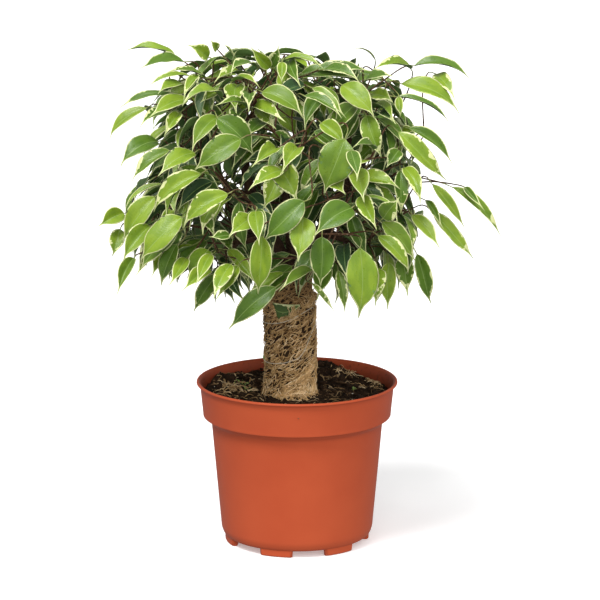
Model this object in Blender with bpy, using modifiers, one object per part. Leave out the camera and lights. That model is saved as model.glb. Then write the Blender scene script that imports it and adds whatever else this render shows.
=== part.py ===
"""Potted weeping fig: a wrapped stump with a round crown of variegated leaves, in a plastic nursery pot."""

import itertools
import math
import random

import bmesh
import bpy
import numpy as np
from mathutils import Vector
from mathutils.bvhtree import BVHTree

MM = 0.001
TOUCH = 0.3  # millimetres kept between pieces that touch
MERGE_GAPS = (0.002, 0.001, 0.005, 0.0001, 0.00001)  # millimetres that points are merged within

# Pot, in millimetres. Heights are taken from a level this far above the undersides of its feet.
LEVEL = 1.5
RIM_RADIUS = 85.0
RIM_HEIGHT = 137.2
POT_WALL = 1.6
POT_BASE_RADIUS = 64.0
POT_BASE_HEIGHT = 3.7
FOOT_RADIUS = 61.4
FOOT_DEPTH = 6.5
FOOT_SPAN = math.radians(28)
FOOT_TURNS = (-166.5, -107.3, -52.8, 7, 67, 130)  # degrees round the pot to the middle of each foot
DRAIN_RADIUS = 4.5
DRAIN_CIRCLE = 38.0

# Soil and the wrapped stump
SOIL_TOP = 126.0
HOLE_FLOOR = 104.0
STUMP_X = -5.8
STUMP_RADIUS = 15.0
STUMP_TOP = 247.0
WRAP_RADIUS = 22.4
WRAP_INNER_LAYER = 18.2
WRAP_TOP = 235.0
TUCKED_LEAF_TOP = 207.2
HOLE_RADIUS = 24.0
THREAD_RADIUS = 0.4

# The outer coir layer's top edge and the binding thread, as degrees round the stump and height. The front
# is at -90.
WRAP_EDGE = [
    (-180, 200), (-152, 205), (-134, 205), (-121, 194), (-90, 197.5), (-72, 200.5), (-60, 206), (-45, 210),
    (0, 213), (60, 210), (120, 203), (180, 200),
]
THREAD_LINE = [
    (-205, 158), (-180, 156.6), (-150, 155), (-115, 156), (-90, 158.2), (-65, 162), (-52, 171), (-43, 180),
    (-20, 187.5), (0, 190), (90, 190), (180, 187.7), (210, 189), (240, 190.2), (270, 194), (285, 197),
    (305, 201), (325, 203),
]

# Crown
CROWN_TOP = 436.0
CROWN_MIDDLE = 288.0
CROWN_BOTTOM = 176.0
CROWN_RADIUS = 168.0
BRANCH_RADIUS = 1.6
PETIOLE_RADIUS = 0.5
ROOT_RADIUS = 0.38  # a side leaf's stalk, inside its twig
BLADE_HALF = 0.6  # half the blade's thickness at its rib

# The front view is drawn on a grid, seen from this far off and this far above the horizontal
VIEW_DISTANCE = 2700.0
VIEW_TILT = math.radians(12.5)
VIEW_STEP = 0.8416  # millimetres to one step of the grid
VIEW_MIDDLE = (300.0, 300.0)
VIEW_AXIS = 297.0  # the pot's axis on the grid
VIEW_CENTRE_HEIGHT = 206.2
VIEW_CELL = 4.0  # steps of the grid to one cell, where leaves hide others

# Main limbs as points and radii, from inside the stump out to a flat end
LEADERS = {
    "left": [
        (-7, 0, 232, 6.5), (-20, -4, 260, 5.6), (-36, -8, 292, 5.0), (-44, -10, 335, 3.6), (-36, -9, 370, 1.8),
    ],
    "right": [(0, -1, 237, 5.2), (16, -8, 263, 4.6), (36, -12, 300, 3.6), (44, -10, 346, 1.8)],
    "back": [(-4, 4, 238, 5.0), (-6, 22, 263, 4.2), (-10, 42, 303, 3.2), (2, 50, 346, 1.8)],
    "front": [(-2, -3, 239, 4.6), (0, -24, 258, 3.8), (6, -44, 285, 2.8), (2, -52, 322, 1.8)],
    "back right": [(0, 2, 240, 4.0), (22, 18, 258, 3.0), (48, 27, 282, 1.8)],
    "back left": [(-8, 2, 240, 4.0), (-33, 16, 258, 3.0), (-58, 27, 280, 1.8)],
}

# Side limbs: the limb each leaves, the number of the point where it forks, and where it ends
FORKS = [
    ("left", 3, (-72, -16, 351)),
    ("left", 3, (-42, 20, 360)),
    ("left", 2, (-74, -20, 306)),
    ("left", 2, (-50, -46, 306)),
    ("left", 1, (-52, -32, 262)),
    ("right", 2, (78, -14, 314)),
    ("right", 2, (42, -50, 310)),
    ("right", 1, (50, -36, 264)),
    ("right", 2, (64, 22, 332)),
    ("back", 2, (-46, 62, 318)),
    ("back", 2, (36, 68, 318)),
    ("back", 1, (-12, 56, 258)),
    ("back right", 1, (58, -4, 252)),
    ("back right", 1, (42, 52, 254)),
    ("back left", 1, (-64, -8, 250)),
    ("back left", 1, (-46, 50, 254)),
    ("front", 2, (8, -68, 264)),
]

# Leaves read off the front view: blade base and tip on the grid, how near the front of the crown
# (0 at its middle, 1 at its front), how far the face turns from up to the viewer, the arch, the width,
# and the length where it isn't the usual one. Angles in degrees, sizes in millimetres.
FRONT_LEAVES = [
    (176, 58, 121, 53, 0.25, 12, 75, 15),
    (184, 62, 137, 70, 0.35, 28, 45, 17),
    (208, 58, 187, 44, 0.20, 60, 50, 15, 24),
    (217, 50, 210, 40, 0.12, 60, 20, 9, 13),
    (234, 57, 222, 42, 0.15, 30, 20, 5, 18),
    (234, 58, 238, 43, 0.10, 30, 20, 5, 15),
    (270, 68, 250, 46, 0.30, 70, 20, 14, 27),
    (271, 67, 280, 45, 0.24, 70, 20, 12, 22),
    (260, 60, 231, 67, 0.30, 25, 95, 16, 36),
    (190, 76, 144, 90, 0.35, 18, 60, 10),
    (206, 78, 163, 72, 0.42, 22, 50, 12),
    (182, 84, 157, 93, 0.40, 35, 40, 13, 28),
    (222, 98, 180, 107, 0.55, 18, 115, 17),
    (200, 77, 181, 103, 0.50, 20, 90, 10),
    (180, 98, 113, 113, 0.35, 15, 60, 15),
    (147, 108, 107, 142, 0.10, 35, 60, 13),
    (188, 99, 149, 118, 0.40, 45, 40, 17),
    (172, 112, 138, 127, 0.30, 22, 50, 14),
    (180, 113, 164, 137, 0.45, 60, 50, 14, 30),
    (158, 142, 119, 167, 0.28, 40, 105, 20),
    (167, 145, 125, 174, 0.42, 38, 80, 18),
    (241, 139, 193, 172, 0.80, 55, 60, 24),
    (218, 117, 190, 152, 0.70, 50, 70, 19),
    (217, 118, 254, 158, 0.80, 60, 70, 23),
    (195, 153, 158, 178, 0.65, 40, 70, 18),
    (201, 174, 151, 213, 0.75, 45, 60, 21),
    (163, 184, 122, 213, 0.35, 20, 60, 9),
    (182, 217, 139, 262, 0.85, 45, 60, 24),
    (178, 232, 139, 272, 0.76, 40, 50, 18),
    (228, 194, 181, 228, 0.90, 50, 60, 23),
    (217, 202, 200, 236, 0.84, 60, 40, 16),
    (124, 213, 98, 227, 0.20, 70, 30, 17, 28),
    (120, 229, 113, 258, 0.22, 60, 50, 14, 28),
    (155, 197, 122, 243, 0.62, 50, 60, 21),
    (150, 226, 121, 262, 0.72, 60, 50, 20),
    (134, 258, 118, 296, 0.40, 50, 60, 15),
    (180, 243, 157, 288, 0.82, 50, 50, 18),
    (152, 252, 135, 278, 0.60, 30, 40, 9),
    (160, 250, 151, 279, 0.62, 50, 40, 10),
    (186, 258, 169, 287, 0.80, 45, 40, 14),
    (205, 262, 181, 286, 0.74, 50, 50, 18),
    (211, 270, 184, 312, 0.80, 50, 50, 19),
    (211, 254, 196, 287, 0.86, 60, 50, 12),
    (231, 264, 212, 300, 0.90, 50, 50, 15),
    (243, 262, 218, 296, 0.84, 45, 50, 16),
    (252, 217, 228, 236, 0.92, 60, 40, 19, 34),
    (230, 235, 209, 238, 0.90, 50, 30, 10, 20),
    (255, 213, 260, 253, 0.92, 70, 50, 17),
    (262, 236, 257, 296, 0.97, 72, 50, 24),
    (304, 201, 262, 242, 0.96, 60, 55, 25),
    (303, 217, 297, 263, 0.93, 68, 50, 22),
    (276, 287, 228, 332, 0.80, 58, 50, 20),
    (312, 270, 278, 291, 0.80, 30, 50, 16),
    (282, 170, 247, 190, 0.90, 45, 60, 15),
    (298, 148, 282, 174, 0.84, 55, 60, 20),
    (276, 148, 251, 167, 0.82, 55, 50, 18),
    (247, 108, 214, 106, 0.60, 30, 60, 14),
    (219, 93, 199, 106, 0.55, 55, 50, 13, 24),
    (262, 92, 305, 118, 0.66, 42, 70, 20),
    (253, 108, 286, 123, 0.55, 35, 60, 19),
    (253, 92, 246, 112, 0.50, 60, 60, 16),
    (232, 82, 262, 88, 0.50, 25, 60, 10),
    (282, 62, 281, 84, 0.50, 60, 40, 10, 22),
    (283, 63, 329, 74, 0.40, 22, 65, 14),
    (322, 70, 361, 79, 0.50, 35, 60, 16),
    (304, 96, 343, 119, 0.70, 35, 60, 13),
    (312, 88, 346, 120, 0.62, 30, 60, 12),
    (321, 123, 347, 146, 0.80, 55, 50, 18, 30),
    (414, 66, 474, 81, 0.30, 20, 65, 17),
    (411, 69, 370, 69, 0.36, 28, 60, 17),
    (363, 84, 395, 75, 0.50, 40, 40, 17),
    (376, 62, 350, 51, 0.20, 20, 60, 4),
    (401, 84, 461, 115, 0.40, 38, 70, 20),
    (436, 74, 457, 100, 0.30, 45, 60, 14),
    (396, 97, 453, 127, 0.48, 15, 70, 11),
    (402, 99, 404, 121, 0.50, 60, 30, 9, 21),
    (371, 94, 394, 101, 0.50, 50, 40, 14, 24),
    (342, 85, 377, 118, 0.70, 55, 60, 21),
    (372, 113, 387, 160, 0.76, 60, 50, 21),
    (379, 143, 350, 137, 0.66, 35, 70, 15, 32),
    (402, 132, 417, 130, 0.30, 60, 20, 11, 17),
    (398, 132, 447, 183, 0.60, 50, 50, 19),
    (408, 128, 453, 166, 0.45, 40, 60, 15),
    (399, 150, 386, 168, 0.55, 60, 40, 15, 22),
    (345, 139, 322, 194, 0.92, 72, 50, 31),
    (352, 147, 367, 176, 0.85, 60, 40, 13),
    (355, 168, 363, 203, 0.86, 65, 40, 18),
    (285, 165, 306, 204, 0.80, 52, 50, 23),
    (330, 184, 349, 203, 0.80, 60, 40, 18, 30),
    (352, 208, 314, 237, 0.96, 58, 60, 27),
    (358, 200, 371, 240, 0.90, 65, 50, 20),
    (403, 191, 376, 196, 0.72, 35, 50, 13, 28),
    (404, 168, 422, 206, 0.60, 50, 80, 15),
    (408, 178, 412, 226, 0.70, 70, 40, 16),
    (452, 187, 502, 240, 0.25, 40, 60, 14),
    (459, 191, 476, 218, 0.15, 50, 40, 9),
    (432, 184, 466, 230, 0.40, 45, 50, 12),
    (426, 200, 443, 231, 0.30, 50, 40, 9),
    (432, 211, 476, 262, 0.35, 45, 50, 13),
    (412, 215, 440, 250, 0.50, 45, 50, 13),
    (383, 219, 400, 199, 0.85, 70, 20, 17, 24),
    (382, 222, 415, 262, 0.78, 45, 70, 18),
    (378, 236, 411, 275, 0.85, 45, 80, 16),
    (360, 248, 358, 320, 0.97, 80, 40, 27),
    (417, 254, 430, 306, 0.50, 55, 60, 18),
    (378, 268, 376, 307, 0.80, 70, 40, 16),
    (389, 262, 389, 311, 0.68, 70, 40, 18),
    (400, 255, 401, 295, 0.60, 70, 40, 18),
    (338, 270, 345, 316, 0.60, 30, 40, 11),
    (312, 283, 337, 315, 0.70, 15, 30, 7),
    (325, 264, 318, 300, 0.50, 70, 30, 17),
    (322, 237, 319, 288, 0.92, 70, 40, 25),
]


def eye_ray(across, down):
    """Eye point and direction through a point of the front view's grid."""
    middle = Vector(((VIEW_MIDDLE[0] - VIEW_AXIS) * VIEW_STEP, 0, VIEW_CENTRE_HEIGHT))
    forward = Vector((0, math.cos(VIEW_TILT), -math.sin(VIEW_TILT)))
    upward = Vector((0, math.sin(VIEW_TILT), math.cos(VIEW_TILT)))
    eye = middle - forward * VIEW_DISTANCE
    ray = forward * VIEW_DISTANCE
    ray += Vector((1, 0, 0)) * (across - VIEW_MIDDLE[0]) * VIEW_STEP
    ray += upward * (VIEW_MIDDLE[1] - down) * VIEW_STEP
    return eye, ray


def on_view(across, down, depth):
    """The point at this depth (y) that the front view shows at this place on its grid."""
    eye, ray = eye_ray(across, down)
    return eye + ray * ((depth - eye.y) / ray.y)


def seen_at(point):
    """Where the front view's grid shows a point."""
    forward = Vector((0, math.cos(VIEW_TILT), -math.sin(VIEW_TILT)))
    upward = Vector((0, math.sin(VIEW_TILT), math.cos(VIEW_TILT)))
    middle = Vector(((VIEW_MIDDLE[0] - VIEW_AXIS) * VIEW_STEP, 0, VIEW_CENTRE_HEIGHT))
    away = point - (middle - forward * VIEW_DISTANCE)
    scale = VIEW_DISTANCE / away.dot(forward) / VIEW_STEP
    return VIEW_MIDDLE[0] + away.x * scale, VIEW_MIDDLE[1] - away.dot(upward) * scale


# Inner outline of the crown in the front view, as height on the grid, left edge and right edge
OUTLINE = [
    (52, 238, 290), (62, 195, 345), (76, 165, 395), (92, 160, 400), (110, 145, 402), (130, 150, 408),
    (150, 140, 420), (170, 140, 412), (190, 135, 412), (210, 126, 418), (230, 122, 424), (250, 124, 420),
    (268, 128, 412), (280, 140, 410), (292, 200, 400), (304, 212, 385), (314, 240, 330),
]


def inside_outline(point):
    """True where the front view shows a point within the crown's inner outline."""
    across, down = seen_at(point)
    if down < OUTLINE[0][0] or down > OUTLINE[-1][0]:
        return False
    for upper, lower in zip(OUTLINE, OUTLINE[1:]):
        if down <= lower[0]:
            part = (down - upper[0]) / (lower[0] - upper[0])
            left = upper[1] + (lower[1] - upper[1]) * part
            right = upper[2] + (lower[2] - upper[2]) * part
            return left <= across <= right
    return False


def crown_width(height):
    """Radius of the crown at a height."""
    if height > CROWN_MIDDLE:
        part = (height - CROWN_MIDDLE) / (CROWN_TOP - CROWN_MIDDLE)
    else:
        part = (CROWN_MIDDLE - height) / (CROWN_MIDDLE - CROWN_BOTTOM)
    return CROWN_RADIUS * math.sqrt(max(0.0, 1 - min(1.0, part) ** 2.4))


def square_to(direction, along):
    """The part of a direction that is square to another, at unit length."""
    across = direction - along * direction.dot(along)
    if across.length < 1e-4:
        across = along.orthogonal()
    return across.normalized()


def make_leaf(base, along, up, chord, width, arch, stalk, lean):
    """A leaf from its blade's base, the line to its tip, the side that its face looks to, and its sizes.

    lean is the direction that its stalk is drawn towards as it runs back from the blade."""
    along = along.normalized()
    up = square_to(up, along)
    arch = max(arch, 0.05)
    length = chord * arch / (2 * math.sin(arch / 2))
    leaf = {"base": base, "along": along, "up": up, "side": along.cross(up), "length": length,
            "width": width, "arch": arch, "fold": math.radians(20)}
    start = along * math.cos(arch / 2) + up * math.sin(arch / 2)
    leaf["stalk"] = (start * 0.7 - lean * 0.3).normalized()
    leaf["root"] = base - leaf["stalk"] * stalk
    return leaf


def blade_frame(leaf, part):
    """Middle, face direction and forward direction of a leaf's blade at a part of its length."""
    arch = leaf["arch"]
    turn = arch * (part - 0.5)
    reach = (math.sin(turn) + math.sin(arch / 2)) / arch
    rise = (math.cos(turn) - math.cos(arch / 2)) / arch
    middle = leaf["base"] + leaf["along"] * (leaf["length"] * reach) + leaf["up"] * (leaf["length"] * rise)
    face = leaf["up"] * math.cos(turn) + leaf["along"] * math.sin(turn)
    forward = leaf["along"] * math.cos(turn) - leaf["up"] * math.sin(turn)
    return middle, face, forward


# Sections of the simple blade: part of the length, and half-width there as a part of the full half-width
BLADE_CUTS = [(0.30, 1.0), (0.70, 0.62)]
STALK_RING = [(-0.87, 0.5), (0.87, 0.5), (0.0, -1.0)]


def stalk_ring(leaf, centre, direction, radius):
    """Three points round a leaf stalk."""
    side = square_to(leaf["side"], direction)
    face = side.cross(direction)
    return [centre + side * (a * radius) + face * (b * radius) for a, b in STALK_RING]


def blade_rings(leaf, grow):
    """The blade's sections, four points each, with its sides raised by the fold."""
    rings = []
    for part, share in BLADE_CUTS:
        middle, face, _ = blade_frame(leaf, part)
        half = leaf["width"] / 2 * share + grow
        out = leaf["side"] * (math.cos(leaf["fold"]) * half)
        lift = face * (math.sin(leaf["fold"]) * half)
        thick = face * (BLADE_HALF + grow)
        rings.append([middle - out + lift, middle + thick, middle + out + lift, middle - thick])
    return rings


BLADE_FACES = [
    (0, 1, 4), (0, 4, 3), (1, 5, 4), (0, 3, 6), (0, 6, 2), (1, 2, 6), (1, 6, 5),
    (3, 4, 7), (4, 8, 7), (4, 5, 9), (4, 9, 8), (3, 7, 6), (6, 7, 10), (6, 9, 5), (6, 10, 9),
    (7, 8, 11), (8, 9, 11), (9, 10, 11), (10, 7, 11),
]


def blade_shape(leaf, grow):
    """Points and faces of the blade from its base to its tip."""
    forward = blade_frame(leaf, 0)[2]
    ring = stalk_ring(leaf, leaf["base"], forward, PETIOLE_RADIUS + grow)
    tip = blade_frame(leaf, 1)
    points = ring + [p for section in blade_rings(leaf, grow) for p in section] + [tip[0] + tip[2] * grow]
    return points, BLADE_FACES


def stalk_shape(leaf, grow):
    """Points and faces of the stalk, without caps, from its root to the blade's base."""
    radius = PETIOLE_RADIUS + grow
    points = stalk_ring(leaf, leaf["root"], leaf["stalk"], radius)
    points += stalk_ring(leaf, leaf["base"], leaf["stalk"], radius)
    return points, [(0, 1, 4, 3), (1, 2, 5, 4), (2, 0, 3, 5)]


def leaf_on_line(leaf, line):
    """Points and faces of a leaf and of the stalk or twig behind it, as one closed skin.

    line holds the twig's points and radii, from its root up to where the blade's stalk starts."""
    points, faces = blade_shape(leaf, 0)
    faces = list(faces)
    ahead = 0
    leading = leaf["base"]
    side = leaf["side"]
    for spot, radius in reversed(line):
        heading = (leading - spot).normalized()
        side = square_to(side, heading)
        face = side.cross(heading)
        first = len(points)
        points += [spot + side * (a * radius) + face * (b * radius) for a, b in STALK_RING]
        for a, b in ((0, 1), (1, 2), (2, 0)):
            faces.append((ahead + a, first + a, ahead + b))
            faces.append((ahead + b, first + a, first + b))
        ahead = first
        leading = spot
    faces.append((ahead, ahead + 2, ahead + 1))
    return points, faces


def tube_shape(points, radius, sides=6):
    """Points and faces of a tube round a line, without caps."""
    ring_points = []
    faces = []
    for i, centre in enumerate(points):
        before = points[max(i - 1, 0)]
        after = points[min(i + 1, len(points) - 1)]
        heading = (after - before).normalized()
        side = heading.orthogonal().normalized() if i == 0 else square_to(side, heading)
        top = heading.cross(side)
        for k in range(sides):
            turn = 2 * math.pi * k / sides
            ring_points.append(centre + (side * math.cos(turn) + top * math.sin(turn)) * radius)
    for i in range(len(points) - 1):
        for k in range(sides):
            a = i * sides + k
            b = i * sides + (k + 1) % sides
            faces.append((a, b, b + sides, a + sides))
    return ring_points, faces


class FrontView:
    """The depth of the nearest front leaf at each place on the front view's grid."""

    def __init__(self):
        self.depths = {}

    def spots(self, leaf, parts, shares):
        """Points spread over a leaf's blade, each with its cell of the grid."""
        for part in parts:
            middle = blade_frame(leaf, part)[0]
            half = leaf["width"] / 2 * min(1.0, 2.2 * (1 - part))
            for share in shares:
                spot = middle + leaf["side"] * (half * share)
                across, down = seen_at(spot)
                yield spot, (int(across / VIEW_CELL), int(down / VIEW_CELL))

    def add(self, leaf):
        for spot, cell in self.spots(leaf, np.linspace(0.04, 0.96, 14), (-0.9, -0.5, 0, 0.5, 0.9)):
            self.depths[cell] = min(spot.y, self.depths.get(cell, spot.y))

    def allows(self, leaf):
        """True where a leaf stays within the crown's inner outline and behind the front leaves."""
        if not all(inside_outline(blade_frame(leaf, part)[0]) for part in (0, 0.5, 1)):
            return False
        before = 0
        for spot, cell in self.spots(leaf, (0.15, 0.4, 0.65, 0.9), (-0.8, 0, 0.8)):
            open_depth = -0.6 * math.sqrt(max(0.0, crown_width(spot.z) ** 2 - spot.x ** 2))
            before += spot.y < self.depths.get(cell, open_depth)
        return before <= 1


class Room:
    """All that has grown so far, as search trees, so that nothing new crosses it."""

    def __init__(self):
        self.boxes = np.zeros((9000, 6))
        self.trees = []
        self.owners = []
        self.view = FrontView()

    def add(self, shape, owner):
        points, faces = shape
        array = np.array([tuple(p) for p in points])
        self.boxes[len(self.trees), :3] = array.min(axis=0)
        self.boxes[len(self.trees), 3:] = array.max(axis=0)
        self.trees.append(BVHTree.FromPolygons(points, faces))
        self.owners.append(owner)

    def free(self, shape, but=()):
        """True where a shape crosses nothing, apart from what the owners named in but hold."""
        points, faces = shape
        array = np.array([tuple(p) for p in points])
        boxes = self.boxes[:len(self.trees)]
        near = np.all((boxes[:, :3] < array.max(axis=0)) & (boxes[:, 3:] > array.min(axis=0)), axis=1)
        tree = None
        for index in np.flatnonzero(near):
            if self.owners[index] in but:
                continue
            tree = tree or BVHTree.FromPolygons(points, faces)
            if tree.overlap(self.trees[index]):
                return False
        return True

    def drop(self, owner):
        for index, name in enumerate(self.owners):
            if name == owner:
                self.boxes[index] = 1e9


def smooth_line(start, heading, end, arrival, count, bulge=Vector()):
    """Points along a curve that leaves and arrives in given directions."""
    span = (end - start).length
    first = start + heading * (span * 0.4) + bulge
    second = end - arrival * (span * 0.35) + bulge
    points = []
    for i in range(count + 1):
        t = i / count
        s = 1 - t
        points.append(start * s ** 3 + first * (3 * s * s * t) + second * (3 * s * t * t) + end * t ** 3)
    return points


def limb_lines():
    """Each limb as a line of points with radii, and each branch's start with its heading."""
    limbs = []
    starts = []
    for points in LEADERS.values():
        limbs.append([(Vector(p[:3]), p[3]) for p in points])
        heading = (Vector(points[-1][:3]) - Vector(points[-2][:3])).normalized()
        starts.append((Vector(points[-1][:3]), heading))
    for leader, number, end in FORKS:
        here = LEADERS[leader][number]
        start = Vector(here[:3])
        end = Vector(end)
        rise = (start - Vector(LEADERS[leader][number - 1][:3])).normalized()
        heading = ((end - start).normalized() * 2 + rise).normalized()
        arrival = ((end - start).normalized() * 2 + Vector((0, 0, 0.5))).normalized()
        line = smooth_line(start, heading, end, arrival, 3)
        thick = min(here[3] * 0.8, 2.8)
        limbs.append([(p, thick + (1.8 - thick) * i / 3) for i, p in enumerate(line)])
        starts.append((end, (line[-1] - line[-2]).normalized()))
    return limbs, starts


def front_leaf(row):
    """A leaf of the front view, set at its depth in the crown."""
    across, down, tip_across, tip_down, near, facing, arch, width = row[:8]
    depth = 0.0
    for _ in range(6):
        base = on_view(across, down, depth)
        reach = crown_width(base.z) ** 2 - base.x ** 2
        depth = -near * 0.86 * math.sqrt(max(0.0, reach))
    flat = on_view(tip_across, tip_down, depth) - base
    chord = row[8] if len(row) > 8 else max(flat.length, 42.0)
    chord = max(chord, flat.length)
    toward = math.sqrt(max(0.0, chord ** 2 - flat.length ** 2))
    tip = on_view(tip_across, tip_down, depth - toward)
    turn = math.radians(facing)
    up = Vector((0, -math.sin(turn), math.cos(turn)))
    inward = Vector((-base.x, -base.y, 0)).normalized()
    stalk = min(11.0, chord * 0.3)
    return make_leaf(base, tip - base, up, (tip - base).length, width, math.radians(arch), stalk, inward)


def turned(leaf, angle, rng):
    """A leaf's like on another side of the crown, a little changed."""
    spin = angle + rng.uniform(-0.12, 0.12)
    cos, sin = math.cos(spin), math.sin(spin)

    def turn(v):
        return Vector((v.x * cos - v.y * sin, v.x * sin + v.y * cos, v.z))

    base = turn(leaf["base"]) + Vector((0, 0, rng.uniform(-8, 8)))
    change = Vector((rng.uniform(-0.2, 0.2), rng.uniform(-0.2, 0.2), rng.uniform(-0.15, 0.1)))
    along = turn(leaf["along"]) + change
    inward = Vector((-base.x, -base.y, 0)).normalized()
    chord = leaf["length"] * 2 * math.sin(leaf["arch"] / 2) / leaf["arch"]
    return make_leaf(base, along, turn(leaf["up"]), min(chord, 52) * rng.uniform(0.9, 1.05), leaf["width"],
                     leaf["arch"], 10, inward)


def shell_leaf(index, count, rng):
    """A leaf near the crown's surface, on an even spread of directions, hanging outward and down."""
    level = 1 - 2 * (index + 0.5) / count
    turn = index * math.pi * (3 - math.sqrt(5)) + rng.uniform(-0.1, 0.1)
    if level > 0:
        height = CROWN_MIDDLE + level * (CROWN_TOP - CROWN_MIDDLE - 8)
    else:
        height = CROWN_MIDDLE + level * (CROWN_MIDDLE - CROWN_BOTTOM - 34)
    out = Vector((math.cos(turn), math.sin(turn), 0))
    base = out * crown_width(height) * rng.uniform(0.70, 0.86) + Vector((0, 0, height))
    droop = math.radians(48 - 34 * level + rng.uniform(-16, 16))
    swing = rng.uniform(-0.7, 0.7)
    side = Vector((-out.y, out.x, 0))
    level_out = out * math.cos(swing) + side * math.sin(swing)
    along = level_out * math.cos(droop) - Vector((0, 0, math.sin(droop)))
    up = level_out * math.sin(droop) + Vector((0, 0, math.cos(droop)))
    up = up + side * rng.uniform(-0.5, 0.5)
    return make_leaf(base, along, up, rng.uniform(38, 52), rng.uniform(15, 22),
                     math.radians(rng.uniform(35, 75)), rng.uniform(8, 11), -out)


def leaf_variants(leaf, rng, tries):
    """The leaf itself, and then versions of it moved and turned a little further each time."""
    yield leaf
    for attempt in range(tries):
        far = 2 + attempt * 1.2
        wide = 0.08 + attempt * 0.025
        base = leaf["base"] + Vector((rng.uniform(-1, 1), rng.uniform(-1, 1) * 2.5, rng.uniform(-1, 1))) * far
        along = leaf["along"] + Vector([rng.uniform(-wide, wide) for _ in range(3)])
        up = leaf["up"] + Vector([rng.uniform(-wide, wide) for _ in range(3)]) * 1.5
        chord = leaf["length"] * 2 * math.sin(leaf["arch"] / 2) / leaf["arch"]
        stalk = (leaf["base"] - leaf["root"]).length
        lean = Vector((-base.x, -base.y, 0)).normalized()
        yield make_leaf(base, along, up, chord * rng.uniform(0.9, 1), leaf["width"] * rng.uniform(0.88, 1),
                        leaf["arch"] * rng.uniform(0.8, 1.2), stalk, lean)


def settle_leaf(room, leaf, name, rng, tries, bounded, own=()):
    """Put a leaf in the room where it crosses nothing and, if bounded, stays behind the front leaves.

    Returns it, or None."""
    for trial in leaf_variants(leaf, rng, tries):
        if bounded and not room.view.allows(trial):
            continue
        if not room.free(blade_shape(trial, TOUCH)):
            continue
        if not room.free(stalk_shape(trial, TOUCH), own):
            continue
        room.add(blade_shape(trial, 0), ("blade", name))
        room.add(stalk_shape(trial, 0), ("stalk", name))
        trial["name"] = name
        return trial
    return None


class Branch:
    """One leafy branch as it grows: joints with their parents, the runs between them, and the leaves."""

    def __init__(self, number, start, heading):
        self.number = number
        self.spots = [start + heading * TOUCH, start + heading * 9]
        self.headings = [heading, heading]
        self.parents = [-1, 0]
        self.ways = [0.0, 9.0]
        self.runs = [[0, 1]]
        self.leaves = []
        self.side_leaves = []

    def cost(self, goal):
        gap = goal - self.spots[0]
        angle = self.headings[0].angle(gap)
        return gap.length * (1 + 0.6 * max(0.0, angle - 0.5) ** 2) + 2.5 * len(self.leaves)

    def reach(self, room, leaf, rng, patience):
        """Grow a twig to a leaf's root, from the joint with the shortest natural way. True if one fits."""
        goal = leaf["root"]
        choices = []
        for i, spot in enumerate(self.spots[1:], start=1):
            gap = goal - spot
            if gap.length < 3:
                continue
            angle = self.headings[i].angle(gap)
            arrive = leaf["stalk"].angle(gap)
            if angle > 1.9 or arrive > 2.2:
                continue
            beside = [gap.angle(self.headings[k]) for k, parent in enumerate(self.parents) if parent == i]
            if beside and min(beside) < 0.5:
                continue
            bend = 1 + 0.35 * angle ** 2 + 0.12 * arrive ** 2
            choices.append((gap.length * bend + 0.3 * self.ways[i], i))
        choices.sort()
        for _, i in choices[:patience]:
            gap = goal - self.spots[i]
            heading = (self.headings[i] * 0.6 + gap.normalized()).normalized()
            count = max(1, round(gap.length / 32))
            for attempt in range(patience // 2):
                far = gap.length * 0.1 * attempt
                bulge = Vector((rng.uniform(-far, far), rng.uniform(-far, far), rng.uniform(-far, far)))
                line = smooth_line(self.spots[i], heading, goal, leaf["stalk"], count, bulge)
                if self.clear(room, line, leaf):
                    self.keep(room, line, i, leaf)
                    return True
        return False

    def clear(self, room, line, leaf):
        length = (line[1] - line[0]).length
        away = [line[0] + (line[1] - line[0]) * min(0.9, 7 / length)] + line[1:]
        own = ("twig", self.number)
        stalk = ("stalk", leaf["name"])
        if not room.free(tube_shape(away, BRANCH_RADIUS + TOUCH), (stalk,)):
            return False
        return room.free(tube_shape(line, BRANCH_RADIUS + TOUCH), (stalk, own))

    def keep(self, room, line, joint, leaf):
        run = [joint]
        for before, spot in zip(line, line[1:]):
            self.parents.append(run[-1])
            self.ways.append(self.ways[run[-1]] + (spot - before).length)
            self.headings.append((spot - before).normalized())
            self.spots.append(spot)
            run.append(len(self.spots) - 1)
        self.headings[run[-1]] = leaf["stalk"]
        self.runs.append(run)
        self.leaves.append((run[-1], leaf))
        leaf["branch"] = self.number
        room.add(tube_shape(line, BRANCH_RADIUS), ("twig", self.number))

    def loads(self):
        """How many leaves hang beyond each joint."""
        carried = [0] * len(self.spots)
        for joint, _ in self.leaves:
            while joint >= 0:
                carried[joint] += 1
                joint = self.parents[joint]
        return carried

    def radius(self, load):
        return min(BRANCH_RADIUS, 0.8 + 0.2 * math.sqrt(load))


def side_leaf(spot, heading, turn, rng):
    """A leaf on the side of a twig, drooping."""
    down = Vector((0, 0, -1))
    level = square_to(Vector((0, 0, 1)), heading).cross(heading)
    out = level * math.cos(turn) + square_to(Vector((0, 0, 1)), heading) * math.sin(turn)
    stalk_way = (heading * 0.7 + out).normalized()
    base = spot + stalk_way * rng.uniform(8, 11)
    outward = Vector((base.x, base.y, 0)).normalized()
    along = (stalk_way * 0.7 + outward * 0.35 + down * rng.uniform(0.3, 1.1)).normalized()
    up = square_to(Vector((0, 0, 1)) + outward * 0.4, along)
    up = up + along.cross(up) * rng.uniform(-0.6, 0.6)
    leaf = make_leaf(base, along, up, rng.uniform(36, 48), rng.uniform(14, 20),
                     math.radians(rng.uniform(30, 75)), 9, Vector())
    leaf["root"] = spot
    leaf["stalk"] = stalk_way
    return leaf


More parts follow.
